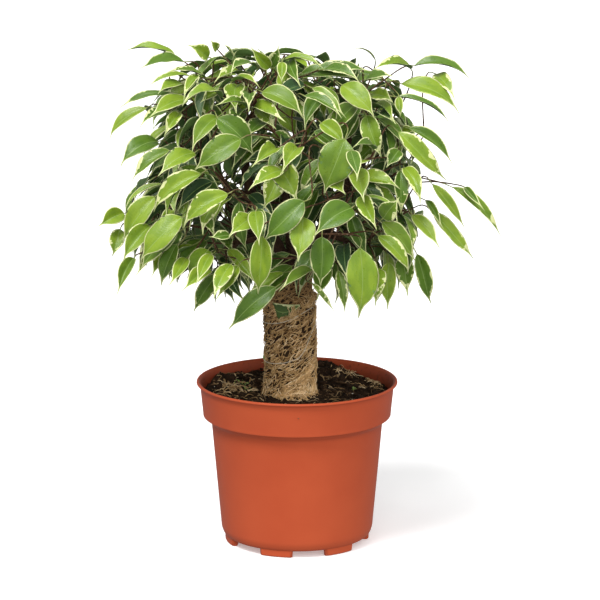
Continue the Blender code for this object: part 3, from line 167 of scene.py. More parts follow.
# Leaves read off the front view: blade base and tip on the grid, how near the front of the crown
# (0 at its middle, 1 at its front), how far the face turns from up to the viewer, the arch, the width,
# and the length where it isn't the usual one. Angles in degrees, sizes in millimetres.
FRONT_LEAVES = [
    (176, 58, 121, 53, 0.25, 12, 75, 15),
    (184, 62, 137, 70, 0.35, 28, 45, 17),
    (208, 58, 187, 44, 0.20, 60, 50, 15, 24),
    (217, 50, 210, 40, 0.12, 60, 20, 9, 13),
    (234, 57, 222, 42, 0.15, 30, 20, 5, 18),
    (234, 58, 238, 43, 0.10, 30, 20, 5, 15),
    (270, 68, 250, 46, 0.30, 70, 20, 14, 27),
    (271, 67, 280, 45, 0.24, 70, 20, 12, 22),
    (260, 60, 231, 67, 0.30, 25, 95, 16, 36),
    (190, 76, 144, 90, 0.35, 18, 60, 10),
    (206, 78, 163, 72, 0.42, 22, 50, 12),
    (182, 84, 157, 93, 0.40, 35, 40, 13, 28),
    (222, 98, 180, 107, 0.55, 18, 115, 17),
    (200, 77, 181, 103, 0.50, 20, 90, 10),
    (180, 98, 113, 113, 0.35, 15, 60, 15),
    (147, 108, 107, 142, 0.10, 35, 60, 13),
    (188, 99, 149, 118, 0.40, 45, 40, 17),
    (172, 112, 138, 127, 0.30, 22, 50, 14),
    (180, 113, 164, 137, 0.45, 60, 50, 14, 30),
    (158, 142, 119, 167, 0.28, 40, 105, 20),
    (167, 145, 125, 174, 0.42, 38, 80, 18),
    (241, 139, 193, 172, 0.80, 55, 60, 24),
    (218, 117, 190, 152, 0.70, 50, 70, 19),
    (217, 118, 254, 158, 0.80, 60, 70, 23),
    (195, 153, 158, 178, 0.65, 40, 70, 18),
    (201, 174, 151, 213, 0.75, 45, 60, 21),
    (163, 184, 122, 213, 0.35, 20, 60, 9),
    (182, 217, 139, 262, 0.85, 45, 60, 24),
    (178, 232, 139, 272, 0.76, 40, 50, 18),
    (228, 194, 181, 228, 0.90, 50, 60, 23),
    (217, 202, 200, 236, 0.84, 60, 40, 16),
    (124, 213, 98, 227, 0.20, 70, 30, 17, 28),
    (120, 229, 113, 258, 0.22, 60, 50, 14, 28),
    (155, 197, 122, 243, 0.62, 50, 60, 21),
    (150, 226, 121, 262, 0.72, 60, 50, 20),
    (134, 258, 118, 296, 0.40, 50, 60, 15),
    (180, 243, 157, 288, 0.82, 50, 50, 18),
    (152, 252, 135, 278, 0.60, 30, 40, 9),
    (160, 250, 151, 279, 0.62, 50, 40, 10),
    (186, 258, 169, 287, 0.80, 45, 40, 14),
    (205, 262, 181, 286, 0.74, 50, 50, 18),
    (211, 270, 184, 312, 0.80, 50, 50, 19),
    (211, 254, 196, 287, 0.86, 60, 50, 12),
    (231, 264, 212, 300, 0.90, 50, 50, 15),
    (243, 262, 218, 296, 0.84, 45, 50, 16),
    (252, 217, 228, 236, 0.92, 60, 40, 19, 34),
    (230, 235, 209, 238, 0.90, 50, 30, 10, 20),
    (255, 213, 260, 253, 0.92, 70, 50, 17),
    (262, 236, 257, 296, 0.97, 72, 50, 24),
    (304, 201, 262, 242, 0.96, 60, 55, 25),
    (303, 217, 297, 263, 0.93, 68, 50, 22),
    (276, 287, 228, 332, 0.80, 58, 50, 20),
    (312, 270, 278, 291, 0.80, 30, 50, 16),
    (282, 170, 247, 190, 0.90, 45, 60, 15),
    (298, 148, 282, 174, 0.84, 55, 60, 20),
    (276, 148, 251, 167, 0.82, 55, 50, 18),
    (247, 108, 214, 106, 0.60, 30, 60, 14),
    (219, 93, 199, 106, 0.55, 55, 50, 13, 24),
    (262, 92, 305, 118, 0.66, 42, 70, 20),
    (253, 108, 286, 123, 0.55, 35, 60, 19),
    (253, 92, 246, 112, 0.50, 60, 60, 16),
    (232, 82, 262, 88, 0.50, 25, 60, 10),
    (282, 62, 281, 84, 0.50, 60, 40, 10, 22),
    (283, 63, 329, 74, 0.40, 22, 65, 14),
    (322, 70, 361, 79, 0.50, 35, 60, 16),
    (304, 96, 343, 119, 0.70, 35, 60, 13),
    (312, 88, 346, 120, 0.62, 30, 60, 12),
    (321, 123, 347, 146, 0.80, 55, 50, 18, 30),
    (414, 66, 474, 81, 0.30, 20, 65, 17),
    (411, 69, 370, 69, 0.36, 28, 60, 17),
    (363, 84, 395, 75, 0.50, 40, 40, 17),
    (376, 62, 350, 51, 0.20, 20, 60, 4),
    (401, 84, 461, 115, 0.40, 38, 70, 20),
    (436, 74, 457, 100, 0.30, 45, 60, 14),
    (396, 97, 453, 127, 0.48, 15, 70, 11),
    (402, 99, 404, 121, 0.50, 60, 30, 9, 21),
    (371, 94, 394, 101, 0.50, 50, 40, 14, 24),
    (342, 85, 377, 118, 0.70, 55, 60, 21),
    (372, 113, 387, 160, 0.76, 60, 50, 21),
    (379, 143, 350, 137, 0.66, 35, 70, 15, 32),
    (402, 132, 417, 130, 0.30, 60, 20, 11, 17),
    (398, 132, 447, 183, 0.60, 50, 50, 19),
    (408, 128, 453, 166, 0.45, 40, 60, 15),
    (399, 150, 386, 168, 0.55, 60, 40, 15, 22),
    (345, 139, 322, 194, 0.92, 72, 50, 31),
    (352, 147, 367, 176, 0.85, 60, 40, 13),
    (355, 168, 363, 203, 0.86, 65, 40, 18),
    (285, 165, 306, 204, 0.80, 52, 50, 23),
    (330, 184, 349, 203, 0.80, 60, 40, 18, 30),
    (352, 208, 314, 237, 0.96, 58, 60, 27),
    (358, 200, 371, 240, 0.90, 65, 50, 20),
    (403, 191, 376, 196, 0.72, 35, 50, 13, 28),
    (404, 168, 422, 206, 0.60, 50, 80, 15),
    (408, 178, 412, 226, 0.70, 70, 40, 16),
    (452, 187, 502, 240, 0.25, 40, 60, 14),
    (459, 191, 476, 218, 0.15, 50, 40, 9),
    (432, 184, 466, 230, 0.40, 45, 50, 12),
    (426, 200, 443, 231, 0.30, 50, 40, 9),
    (432, 211, 476, 262, 0.35, 45, 50, 13),
    (412, 215, 440, 250, 0.50, 45, 50, 13),
    (383, 219, 400, 199, 0.85, 70, 20, 17, 24),
    (382, 222, 415, 262, 0.78, 45, 70, 18),
    (378, 236, 411, 275, 0.85, 45, 80, 16),
    (360, 248, 358, 320, 0.97, 80, 40, 27),
    (417, 254, 430, 306, 0.50, 55, 60, 18),
    (378, 268, 376, 307, 0.80, 70, 40, 16),
    (389, 262, 389, 311, 0.68, 70, 40, 18),
    (400, 255, 401, 295, 0.60, 70, 40, 18),
    (338, 270, 345, 316, 0.60, 30, 40, 11),
    (312, 283, 337, 315, 0.70, 15, 30, 7),
    (325, 264, 318, 300, 0.50, 70, 30, 17),
    (322, 237, 319, 288, 0.92, 70, 40, 25),
]


def eye_ray(across, down):
    """Eye point and direction through a point of the front view's grid."""
    middle = Vector(((VIEW_MIDDLE[0] - VIEW_AXIS) * VIEW_STEP, 0, VIEW_CENTRE_HEIGHT))
    forward = Vector((0, math.cos(VIEW_TILT), -math.sin(VIEW_TILT)))
    upward = Vector((0, math.sin(VIEW_TILT), math.cos(VIEW_TILT)))
    eye = middle - forward * VIEW_DISTANCE
    ray = forward * VIEW_DISTANCE
    ray += Vector((1, 0, 0)) * (across - VIEW_MIDDLE[0]) * VIEW_STEP
    ray += upward * (VIEW_MIDDLE[1] - down) * VIEW_STEP
    return eye, ray


def on_view(across, down, depth):
    """The point at this depth (y) that the front view shows at this place on its grid."""
    eye, ray = eye_ray(across, down)
    return eye + ray * ((depth - eye.y) / ray.y)


def seen_at(point):
    """Where the front view's grid shows a point."""
    forward = Vector((0, math.cos(VIEW_TILT), -math.sin(VIEW_TILT)))
    upward = Vector((0, math.sin(VIEW_TILT), math.cos(VIEW_TILT)))
    middle = Vector(((VIEW_MIDDLE[0] - VIEW_AXIS) * VIEW_STEP, 0, VIEW_CENTRE_HEIGHT))
    away = point - (middle - forward * VIEW_DISTANCE)
    scale = VIEW_DISTANCE / away.dot(forward) / VIEW_STEP
    return VIEW_MIDDLE[0] + away.x * scale, VIEW_MIDDLE[1] - away.dot(upward) * scale


# Inner outline of the crown in the front view, as height on the grid, left edge and right edge
OUTLINE = [
    (52, 238, 290), (62, 195, 345), (76, 165, 395), (92, 160, 400), (110, 145, 402), (130, 150, 408),
    (150, 140, 420), (170, 140, 412), (190, 135, 412), (210, 126, 418), (230, 122, 424), (250, 124, 420),
    (268, 128, 412), (280, 140, 410), (292, 200, 400), (304, 212, 385), (314, 240, 330),
]


def inside_outline(point):
    """True where the front view shows a point within the crown's inner outline."""
    across, down = seen_at(point)
    if down < OUTLINE[0][0] or down > OUTLINE[-1][0]:
        return False
    for upper, lower in zip(OUTLINE, OUTLINE[1:]):
        if down <= lower[0]:
            part = (down - upper[0]) / (lower[0] - upper[0])
            left = upper[1] + (lower[1] - upper[1]) * part
            right = upper[2] + (lower[2] - upper[2]) * part
            return left <= across <= right
    return False


def crown_width(height):
    """Radius of the crown at a height."""
    if height > CROWN_MIDDLE:
        part = (height - CROWN_MIDDLE) / (CROWN_TOP - CROWN_MIDDLE)
    else:
        part = (CROWN_MIDDLE - height) / (CROWN_MIDDLE - CROWN_BOTTOM)
    return CROWN_RADIUS * math.sqrt(max(0.0, 1 - min(1.0, part) ** 2.4))


def square_to(direction, along):
    """The part of a direction that is square to another, at unit length."""
    across = direction - along * direction.dot(along)
    if across.length < 1e-4:
        across = along.orthogonal()
    return across.normalized()


def make_leaf(base, along, up, chord, width, arch, stalk, lean):
    """A leaf from its blade's base, the line to its tip, the side that its face looks to, and its sizes.

    lean is the direction that its stalk is drawn towards as it runs back from the blade."""
    along = along.normalized()
    up = square_to(up, along)
    arch = max(arch, 0.05)
    length = chord * arch / (2 * math.sin(arch / 2))
    leaf = {"base": base, "along": along, "up": up, "side": along.cross(up), "length": length,
            "width": width, "arch": arch, "fold": math.radians(20)}
    start = along * math.cos(arch / 2) + up * math.sin(arch / 2)
    leaf["stalk"] = (start * 0.7 - lean * 0.3).normalized()
    leaf["root"] = base - leaf["stalk"] * stalk
    return leaf


def blade_frame(leaf, part):
    """Middle, face direction and forward direction of a leaf's blade at a part of its length."""
    arch = leaf["arch"]
    turn = arch * (part - 0.5)
    reach = (math.sin(turn) + math.sin(arch / 2)) / arch
    rise = (math.cos(turn) - math.cos(arch / 2)) / arch
    middle = leaf["base"] + leaf["along"] * (leaf["length"] * reach) + leaf["up"] * (leaf["length"] * rise)
    face = leaf["up"] * math.cos(turn) + leaf["along"] * math.sin(turn)
    forward = leaf["along"] * math.cos(turn) - leaf["up"] * math.sin(turn)
    return middle, face, forward


# Sections of the simple blade: part of the length, and half-width there as a part of the full half-width
BLADE_CUTS = [(0.30, 1.0), (0.70, 0.62)]
STALK_RING = [(-0.87, 0.5), (0.87, 0.5), (0.0, -1.0)]


def stalk_ring(leaf, centre, direction, radius):
    """Three points round a leaf stalk."""
    side = square_to(leaf["side"], direction)
    face = side.cross(direction)
    return [centre + side * (a * radius) + face * (b * radius) for a, b in STALK_RING]


def blade_rings(leaf, grow):
    """The blade's sections, four points each, with its sides raised by the fold."""
    rings = []
    for part, share in BLADE_CUTS:
        middle, face, _ = blade_frame(leaf, part)
        half = leaf["width"] / 2 * share + grow
        out = leaf["side"] * (math.cos(leaf["fold"]) * half)
        lift = face * (math.sin(leaf["fold"]) * half)
        thick = face * (BLADE_HALF + grow)
        rings.append([middle - out + lift, middle + thick, middle + out + lift, middle - thick])
    return rings


BLADE_FACES = [
    (0, 1, 4), (0, 4, 3), (1, 5, 4), (0, 3, 6), (0, 6, 2), (1, 2, 6), (1, 6, 5),
    (3, 4, 7), (4, 8, 7), (4, 5, 9), (4, 9, 8), (3, 7, 6), (6, 7, 10), (6, 9, 5), (6, 10, 9),
    (7, 8, 11), (8, 9, 11), (9, 10, 11), (10, 7, 11),
]


def blade_shape(leaf, grow):
    """Points and faces of the blade from its base to its tip."""
    forward = blade_frame(leaf, 0)[2]
    ring = stalk_ring(leaf, leaf["base"], forward, PETIOLE_RADIUS + grow)
    tip = blade_frame(leaf, 1)
    points = ring + [p for section in blade_rings(leaf, grow) for p in section] + [tip[0] + tip[2] * grow]
    return points, BLADE_FACES


def stalk_shape(leaf, grow):
    """Points and faces of the stalk, without caps, from its root to the blade's base."""
    radius = PETIOLE_RADIUS + grow
    points = stalk_ring(leaf, leaf["root"], leaf["stalk"], radius)
    points += stalk_ring(leaf, leaf["base"], leaf["stalk"], radius)
    return points, [(0, 1, 4, 3), (1, 2, 5, 4), (2, 0, 3, 5)]


def leaf_on_line(leaf, line):
    """Points and faces of a leaf and of the stalk or twig behind it, as one closed skin.

    line holds the twig's points and radii, from its root up to where the blade's stalk starts."""
    points, faces = blade_shape(leaf, 0)
    faces = list(faces)
    ahead = 0
    leading = leaf["base"]
    side = leaf["side"]
    for spot, radius in reversed(line):
        heading = (leading - spot).normalized()
        side = square_to(side, heading)
        face = side.cross(heading)
        first = len(points)
        points += [spot + side * (a * radius) + face * (b * radius) for a, b in STALK_RING]
        for a, b in ((0, 1), (1, 2), (2, 0)):
            faces.append((ahead + a, first + a, ahead + b))
            faces.append((ahead + b, first + a, first + b))
        ahead = first
        leading = spot
    faces.append((ahead, ahead + 2, ahead + 1))
    return points, faces


def tube_shape(points, radius, sides=6):
    """Points and faces of a tube round a line, without caps."""
    ring_points = []
    faces = []
    for i, centre in enumerate(points):
        before = points[max(i - 1, 0)]
        after = points[min(i + 1, len(points) - 1)]
        heading = (after - before).normalized()
        side = heading.orthogonal().normalized() if i == 0 else square_to(side, heading)
        top = heading.cross(side)
        for k in range(sides):
            turn = 2 * math.pi * k / sides
            ring_points.append(centre + (side * math.cos(turn) + top * math.sin(turn)) * radius)
    for i in range(len(points) - 1):
        for k in range(sides):
            a = i * sides + k
            b = i * sides + (k + 1) % sides
            faces.append((a, b, b + sides, a + sides))
    return ring_points, faces


class FrontView:
    """The depth of the nearest front leaf at each place on the front view's grid."""

    def __init__(self):
        self.depths = {}

    def spots(self, leaf, parts, shares):
        """Points spread over a leaf's blade, each with its cell of the grid."""
        for part in parts:
            middle = blade_frame(leaf, part)[0]
            half = leaf["width"] / 2 * min(1.0, 2.2 * (1 - part))
            for share in shares:
                spot = middle + leaf["side"] * (half * share)
                across, down = seen_at(spot)
                yield spot, (int(across / VIEW_CELL), int(down / VIEW_CELL))

    def add(self, leaf):
        for spot, cell in self.spots(leaf, np.linspace(0.04, 0.96, 14), (-0.9, -0.5, 0, 0.5, 0.9)):
            self.depths[cell] = min(spot.y, self.depths.get(cell, spot.y))

    def allows(self, leaf):
        """True where a leaf stays within the crown's inner outline and behind the front leaves."""
        if not all(inside_outline(blade_frame(leaf, part)[0]) for part in (0, 0.5, 1)):
            return False
        before = 0
        for spot, cell in self.spots(leaf, (0.15, 0.4, 0.65, 0.9), (-0.8, 0, 0.8)):
            open_depth = -0.6 * math.sqrt(max(0.0, crown_width(spot.z) ** 2 - spot.x ** 2))
            before += spot.y < self.depths.get(cell, open_depth)
        return before <= 1


class Room:
    """All that has grown so far, as search trees, so that nothing new crosses it."""

    def __init__(self):
        self.boxes = np.zeros((9000, 6))
        self.trees = []
        self.owners = []
        self.view = FrontView()

    def add(self, shape, owner):
        points, faces = shape
        array = np.array([tuple(p) for p in points])
        self.boxes[len(self.trees), :3] = array.min(axis=0)
        self.boxes[len(self.trees), 3:] = array.max(axis=0)
        self.trees.append(BVHTree.FromPolygons(points, faces))
        self.owners.append(owner)

    def free(self, shape, but=()):
        """True where a shape crosses nothing, apart from what the owners named in but hold."""
        points, faces = shape
        array = np.array([tuple(p) for p in points])
        boxes = self.boxes[:len(self.trees)]
        near = np.all((boxes[:, :3] < array.max(axis=0)) & (boxes[:, 3:] > array.min(axis=0)), axis=1)
        tree = None
        for index in np.flatnonzero(near):
            if self.owners[index] in but:
                continue
            tree = tree or BVHTree.FromPolygons(points, faces)
            if tree.overlap(self.trees[index]):
                return False
        return True

    def drop(self, owner):
        for index, name in enumerate(self.owners):
            if name == owner:
                self.boxes[index] = 1e9


def smooth_line(start, heading, end, arrival, count, bulge=Vector()):
    """Points along a curve that leaves and arrives in given directions."""
    span = (end - start).length
    first = start + heading * (span * 0.4) + bulge
    second = end - arrival * (span * 0.35) + bulge
    points = []
    for i in range(count + 1):
        t = i / count
        s = 1 - t
        points.append(start * s ** 3 + first * (3 * s * s * t) + second * (3 * s * t * t) + end * t ** 3)
    return points


def limb_lines():
    """Each limb as a line of points with radii, and each branch's start with its heading."""
    limbs = []
    starts = []
    for points in LEADERS.values():
        limbs.append([(Vector(p[:3]), p[3]) for p in points])
        heading = (Vector(points[-1][:3]) - Vector(points[-2][:3])).normalized()
        starts.append((Vector(points[-1][:3]), heading))
    for leader, number, end in FORKS:
        here = LEADERS[leader][number]
        start = Vector(here[:3])
        end = Vector(end)
        rise = (start - Vector(LEADERS[leader][number - 1][:3])).normalized()
        heading = ((end - start).normalized() * 2 + rise).normalized()
        arrival = ((end - start).normalized() * 2 + Vector((0, 0, 0.5))).normalized()
        line = smooth_line(start, heading, end, arrival, 3)
        thick = min(here[3] * 0.8, 2.8)
        limbs.append([(p, thick + (1.8 - thick) * i / 3) for i, p in enumerate(line)])
        starts.append((end, (line[-1] - line[-2]).normalized()))
    return limbs, starts


def front_leaf(row):
    """A leaf of the front view, set at its depth in the crown."""
    across, down, tip_across, tip_down, near, facing, arch, width = row[:8]
    depth = 0.0
    for _ in range(6):
        base = on_view(across, down, depth)
        reach = crown_width(base.z) ** 2 - base.x ** 2
        depth = -near * 0.86 * math.sqrt(max(0.0, reach))
    flat = on_view(tip_across, tip_down, depth) - base
    chord = row[8] if len(row) > 8 else max(flat.length, 42.0)
    chord = max(chord, flat.length)
    toward = math.sqrt(max(0.0, chord ** 2 - flat.length ** 2))
    tip = on_view(tip_across, tip_down, depth - toward)
    turn = math.radians(facing)
    up = Vector((0, -math.sin(turn), math.cos(turn)))
    inward = Vector((-base.x, -base.y, 0)).normalized()
    stalk = min(11.0, chord * 0.3)
    return make_leaf(base, tip - base, up, (tip - base).length, width, math.radians(arch), stalk, inward)


def turned(leaf, angle, rng):
    """A leaf's like on another side of the crown, a little changed."""
    spin = angle + rng.uniform(-0.12, 0.12)
    cos, sin = math.cos(spin), math.sin(spin)

    def turn(v):
        return Vector((v.x * cos - v.y * sin, v.x * sin + v.y * cos, v.z))

    base = turn(leaf["base"]) + Vector((0, 0, rng.uniform(-8, 8)))
    change = Vector((rng.uniform(-0.2, 0.2), rng.uniform(-0.2, 0.2), rng.uniform(-0.15, 0.1)))
    along = turn(leaf["along"]) + change
    inward = Vector((-base.x, -base.y, 0)).normalized()
    chord = leaf["length"] * 2 * math.sin(leaf["arch"] / 2) / leaf["arch"]
    return make_leaf(base, along, turn(leaf["up"]), min(chord, 52) * rng.uniform(0.9, 1.05), leaf["width"],
                     leaf["arch"], 10, inward)


def shell_leaf(index, count, rng):
    """A leaf near the crown's surface, on an even spread of directions, hanging outward and down."""
    level = 1 - 2 * (index + 0.5) / count
    turn = index * math.pi * (3 - math.sqrt(5)) + rng.uniform(-0.1, 0.1)
    if level > 0:
        height = CROWN_MIDDLE + level * (CROWN_TOP - CROWN_MIDDLE - 8)
    else:
        height = CROWN_MIDDLE + level * (CROWN_MIDDLE - CROWN_BOTTOM - 34)
    out = Vector((math.cos(turn), math.sin(turn), 0))
    base = out * crown_width(height) * rng.uniform(0.70, 0.86) + Vector((0, 0, height))
    droop = math.radians(48 - 34 * level + rng.uniform(-16, 16))
    swing = rng.uniform(-0.7, 0.7)
    side = Vector((-out.y, out.x, 0))
    level_out = out * math.cos(swing) + side * math.sin(swing)
    along = level_out * math.cos(droop) - Vector((0, 0, math.sin(droop)))
    up = level_out * math.sin(droop) + Vector((0, 0, math.cos(droop)))
    up = up + side * rng.uniform(-0.5, 0.5)
    return make_leaf(base, along, up, rng.uniform(38, 52), rng.uniform(15, 22),
                     math.radians(rng.uniform(35, 75)), rng.uniform(8, 11), -out)


def leaf_variants(leaf, rng, tries):
    """The leaf itself, and then versions of it moved and turned a little further each time."""
    yield leaf
    for attempt in range(tries):
        far = 2 + attempt * 1.2
        wide = 0.08 + attempt * 0.025
        base = leaf["base"] + Vector((rng.uniform(-1, 1), rng.uniform(-1, 1) * 2.5, rng.uniform(-1, 1))) * far
        along = leaf["along"] + Vector([rng.uniform(-wide, wide) for _ in range(3)])
        up = leaf["up"] + Vector([rng.uniform(-wide, wide) for _ in range(3)]) * 1.5
        chord = leaf["length"] * 2 * math.sin(leaf["arch"] / 2) / leaf["arch"]
        stalk = (leaf["base"] - leaf["root"]).length
        lean = Vector((-base.x, -base.y, 0)).normalized()
        yield make_leaf(base, along, up, chord * rng.uniform(0.9, 1), leaf["width"] * rng.uniform(0.88, 1),
                        leaf["arch"] * rng.uniform(0.8, 1.2), stalk, lean)


def settle_leaf(room, leaf, name, rng, tries, bounded, own=()):
    """Put a leaf in the room where it crosses nothing and, if bounded, stays behind the front leaves.

    Returns it, or None."""
    for trial in leaf_variants(leaf, rng, tries):
        if bounded and not room.view.allows(trial):
            continue
        if not room.free(blade_shape(trial, TOUCH)):
            continue
        if not room.free(stalk_shape(trial, TOUCH), own):
            continue
        room.add(blade_shape(trial, 0), ("blade", name))
        room.add(stalk_shape(trial, 0), ("stalk", name))
        trial["name"] = name
        return trial
    return None


class Branch:
    """One leafy branch as it grows: joints with their parents, the runs between them, and the leaves."""

    def __init__(self, number, start, heading):
        self.number = number
        self.spots = [start + heading * TOUCH, start + heading * 9]
        self.headings = [heading, heading]
        self.parents = [-1, 0]
        self.ways = [0.0, 9.0]
        self.runs = [[0, 1]]
        self.leaves = []
        self.side_leaves = []

    def cost(self, goal):
        gap = goal - self.spots[0]
        angle = self.headings[0].angle(gap)
        return gap.length * (1 + 0.6 * max(0.0, angle - 0.5) ** 2) + 2.5 * len(self.leaves)

    def reach(self, room, leaf, rng, patience):
        """Grow a twig to a leaf's root, from the joint with the shortest natural way. True if one fits."""
        goal = leaf["root"]
        choices = []
        for i, spot in enumerate(self.spots[1:], start=1):
            gap = goal - spot
            if gap.length < 3:
                continue
            angle = self.headings[i].angle(gap)
            arrive = leaf["stalk"].angle(gap)
            if angle > 1.9 or arrive > 2.2:
                continue
            beside = [gap.angle(self.headings[k]) for k, parent in enumerate(self.parents) if parent == i]
            if beside and min(beside) < 0.5:
                continue
            bend = 1 + 0.35 * angle ** 2 + 0.12 * arrive ** 2
            choices.append((gap.length * bend + 0.3 * self.ways[i], i))
        choices.sort()
        for _, i in choices[:patience]:
            gap = goal - self.spots[i]
            heading = (self.headings[i] * 0.6 + gap.normalized()).normalized()
            count = max(1, round(gap.length / 32))
            for attempt in range(patience // 2):
                far = gap.length * 0.1 * attempt
                bulge = Vector((rng.uniform(-far, far), rng.uniform(-far, far), rng.uniform(-far, far)))
                line = smooth_line(self.spots[i], heading, goal, leaf["stalk"], count, bulge)
                if self.clear(room, line, leaf):
                    self.keep(room, line, i, leaf)
                    return True
        return False

    def clear(self, room, line, leaf):
        length = (line[1] - line[0]).length
        away = [line[0] + (line[1] - line[0]) * min(0.9, 7 / length)] + line[1:]
        own = ("twig", self.number)
        stalk = ("stalk", leaf["name"])
        if not room.free(tube_shape(away, BRANCH_RADIUS + TOUCH), (stalk,)):
            return False
        return room.free(tube_shape(line, BRANCH_RADIUS + TOUCH), (stalk, own))

    def keep(self, room, line, joint, leaf):
        run = [joint]
        for before, spot in zip(line, line[1:]):
            self.parents.append(run[-1])
            self.ways.append(self.ways[run[-1]] + (spot - before).length)
            self.headings.append((spot - before).normalized())
            self.spots.append(spot)
            run.append(len(self.spots) - 1)
        self.headings[run[-1]] = leaf["stalk"]
        self.runs.append(run)
        self.leaves.append((run[-1], leaf))
        leaf["branch"] = self.number
        room.add(tube_shape(line, BRANCH_RADIUS), ("twig", self.number))

    def loads(self):
        """How many leaves hang beyond each joint."""
        carried = [0] * len(self.spots)
        for joint, _ in self.leaves:
            while joint >= 0:
                carried[joint] += 1
                joint = self.parents[joint]
        return carried

    def radius(self, load):
        return min(BRANCH_RADIUS, 0.8 + 0.2 * math.sqrt(load))


def side_leaf(spot, heading, turn, rng):
    """A leaf on the side of a twig, drooping."""
    down = Vector((0, 0, -1))
    level = square_to(Vector((0, 0, 1)), heading).cross(heading)
    out = level * math.cos(turn) + square_to(Vector((0, 0, 1)), heading) * math.sin(turn)
    stalk_way = (heading * 0.7 + out).normalized()
    base = spot + stalk_way * rng.uniform(8, 11)
    outward = Vector((base.x, base.y, 0)).normalized()
    along = (stalk_way * 0.7 + outward * 0.35 + down * rng.uniform(0.3, 1.1)).normalized()
    up = square_to(Vector((0, 0, 1)) + outward * 0.4, along)
    up = up + along.cross(up) * rng.uniform(-0.6, 0.6)
    leaf = make_leaf(base, along, up, rng.uniform(36, 48), rng.uniform(14, 20),
                     math.radians(rng.uniform(30, 75)), 9, Vector())
    leaf["root"] = spot
    leaf["stalk"] = stalk_way
    return leaf


def grow_side_leaves(room, branch, gap, tries, seed, limit):
    """Leaves to left and right along a branch's twigs, wherever one has room."""
    count = 0
    for run_number, run in enumerate(branch.runs):
        hand = 1
        walked = 6.0
        for a, b in zip(run, run[1:]):
            start = branch.spots[a]
            span = branch.spots[b] - start
            while walked < span.length - 2:
                if branch.ways[a] + walked < 14 or count >= limit:
                    walked += gap
                    continue
                spot = start + span * (walked / span.length)
                rng = random.Random(f"{seed} {branch.number} {run_number} {a} {walked:.1f}")
                for _ in range(tries):
                    turn = rng.gauss(0.1, 0.45)
                    if hand < 0:
                        turn = math.pi - turn
                    leaf = side_leaf(spot, span.normalized(), turn, rng)
                    own = (("twig", branch.number),)
                    name = f"{seed} {branch.number} {run_number} {b} {walked:.1f}"
                    placed = settle_leaf(room, leaf, name, rng, 0, True, own)
                    if placed:
                        placed["branch"] = branch.number
                        branch.side_leaves.append(placed)
                        count += 1
                        break
                    hand = -hand
                hand = -hand
                walked += gap
            walked = max(2.0, walked - span.length)


def grow_crown(back_share, shell_count, side_gap, side_tries, side_limit):
    """The whole crown: leaves that the front view shows, their like behind, more on the surface,
    the twigs that carry them, and leaves along the twigs."""
    room = Room()
    limbs, starts = limb_lines()
    for limb in limbs:
        for (a, thick), (b, thin) in zip(limb, limb[1:]):
            room.add(tube_shape([a, b], max(thick, thin) + TOUCH, 8), "trunk")
    stump = [Vector((STUMP_X, 0, 150)), Vector((STUMP_X, 0, STUMP_TOP))]
    room.add(tube_shape(stump, WRAP_RADIUS + 1.5, 16), "trunk")
    branches = [Branch(i, start, heading) for i, (start, heading) in enumerate(starts)]
    for branch in branches:
        room.add(tube_shape(branch.spots, BRANCH_RADIUS), ("twig", branch.number))
    wanted = []
    front = [front_leaf(row) for row in FRONT_LEAVES]
    for i, leaf in enumerate(front):
        wanted.append((leaf, f"front {i}", 14, False))
    for i, leaf in enumerate(front):
        if -leaf["base"].y > 30 and abs(leaf["base"].x) < 130:
            rng = random.Random(f"back {i}")
            if rng.random() < back_share:
                wanted.append((turned(leaf, math.pi, rng), f"back {i}", 14, True))
    for i in range(shell_count):
        wanted.append((shell_leaf(i, shell_count, random.Random(f"shell {i}")), f"shell {i}", 3, True))
    ends = []
    for leaf, name, tries, bounded in wanted:
        placed = settle_leaf(room, leaf, name, random.Random(name), tries, bounded)
        if placed:
            ends.append(placed)
        if placed and not bounded:
            room.view.add(placed)
    middle = Vector((STUMP_X, 0, CROWN_MIDDLE))
    ends.sort(key=lambda leaf: (leaf["root"] - middle).length - 500 * leaf["name"].startswith("front"))
    missed = []
    for leaf in ends:
        rng = random.Random("twig " + leaf["name"])
        patience = 14 if leaf["name"].startswith("front") else 7
        for branch in sorted(branches, key=lambda one: one.cost(leaf["root"]))[:patience]:
            if branch.reach(room, leaf, rng, patience):
                break
        else:
            missed.append(leaf["name"])
            room.drop(("blade", leaf["name"]))
            room.drop(("stalk", leaf["name"]))
    for branch in branches:
        grow_side_leaves(room, branch, side_gap, side_tries, "side", side_limit)
    return room, limbs, branches, missed


# From the growth's own axes, in millimetres over the pot's middle, to the frame's
SHIFT = Vector(((pot_low[0] + pot_high[0]) / 2, (pot_low[1] + pot_high[1]) / 2, LEVEL * MM))
CAD_LIMITS = [[(corner[k] - SHIFT[k]) / MM for k in range(3)] for corner in cad_box]


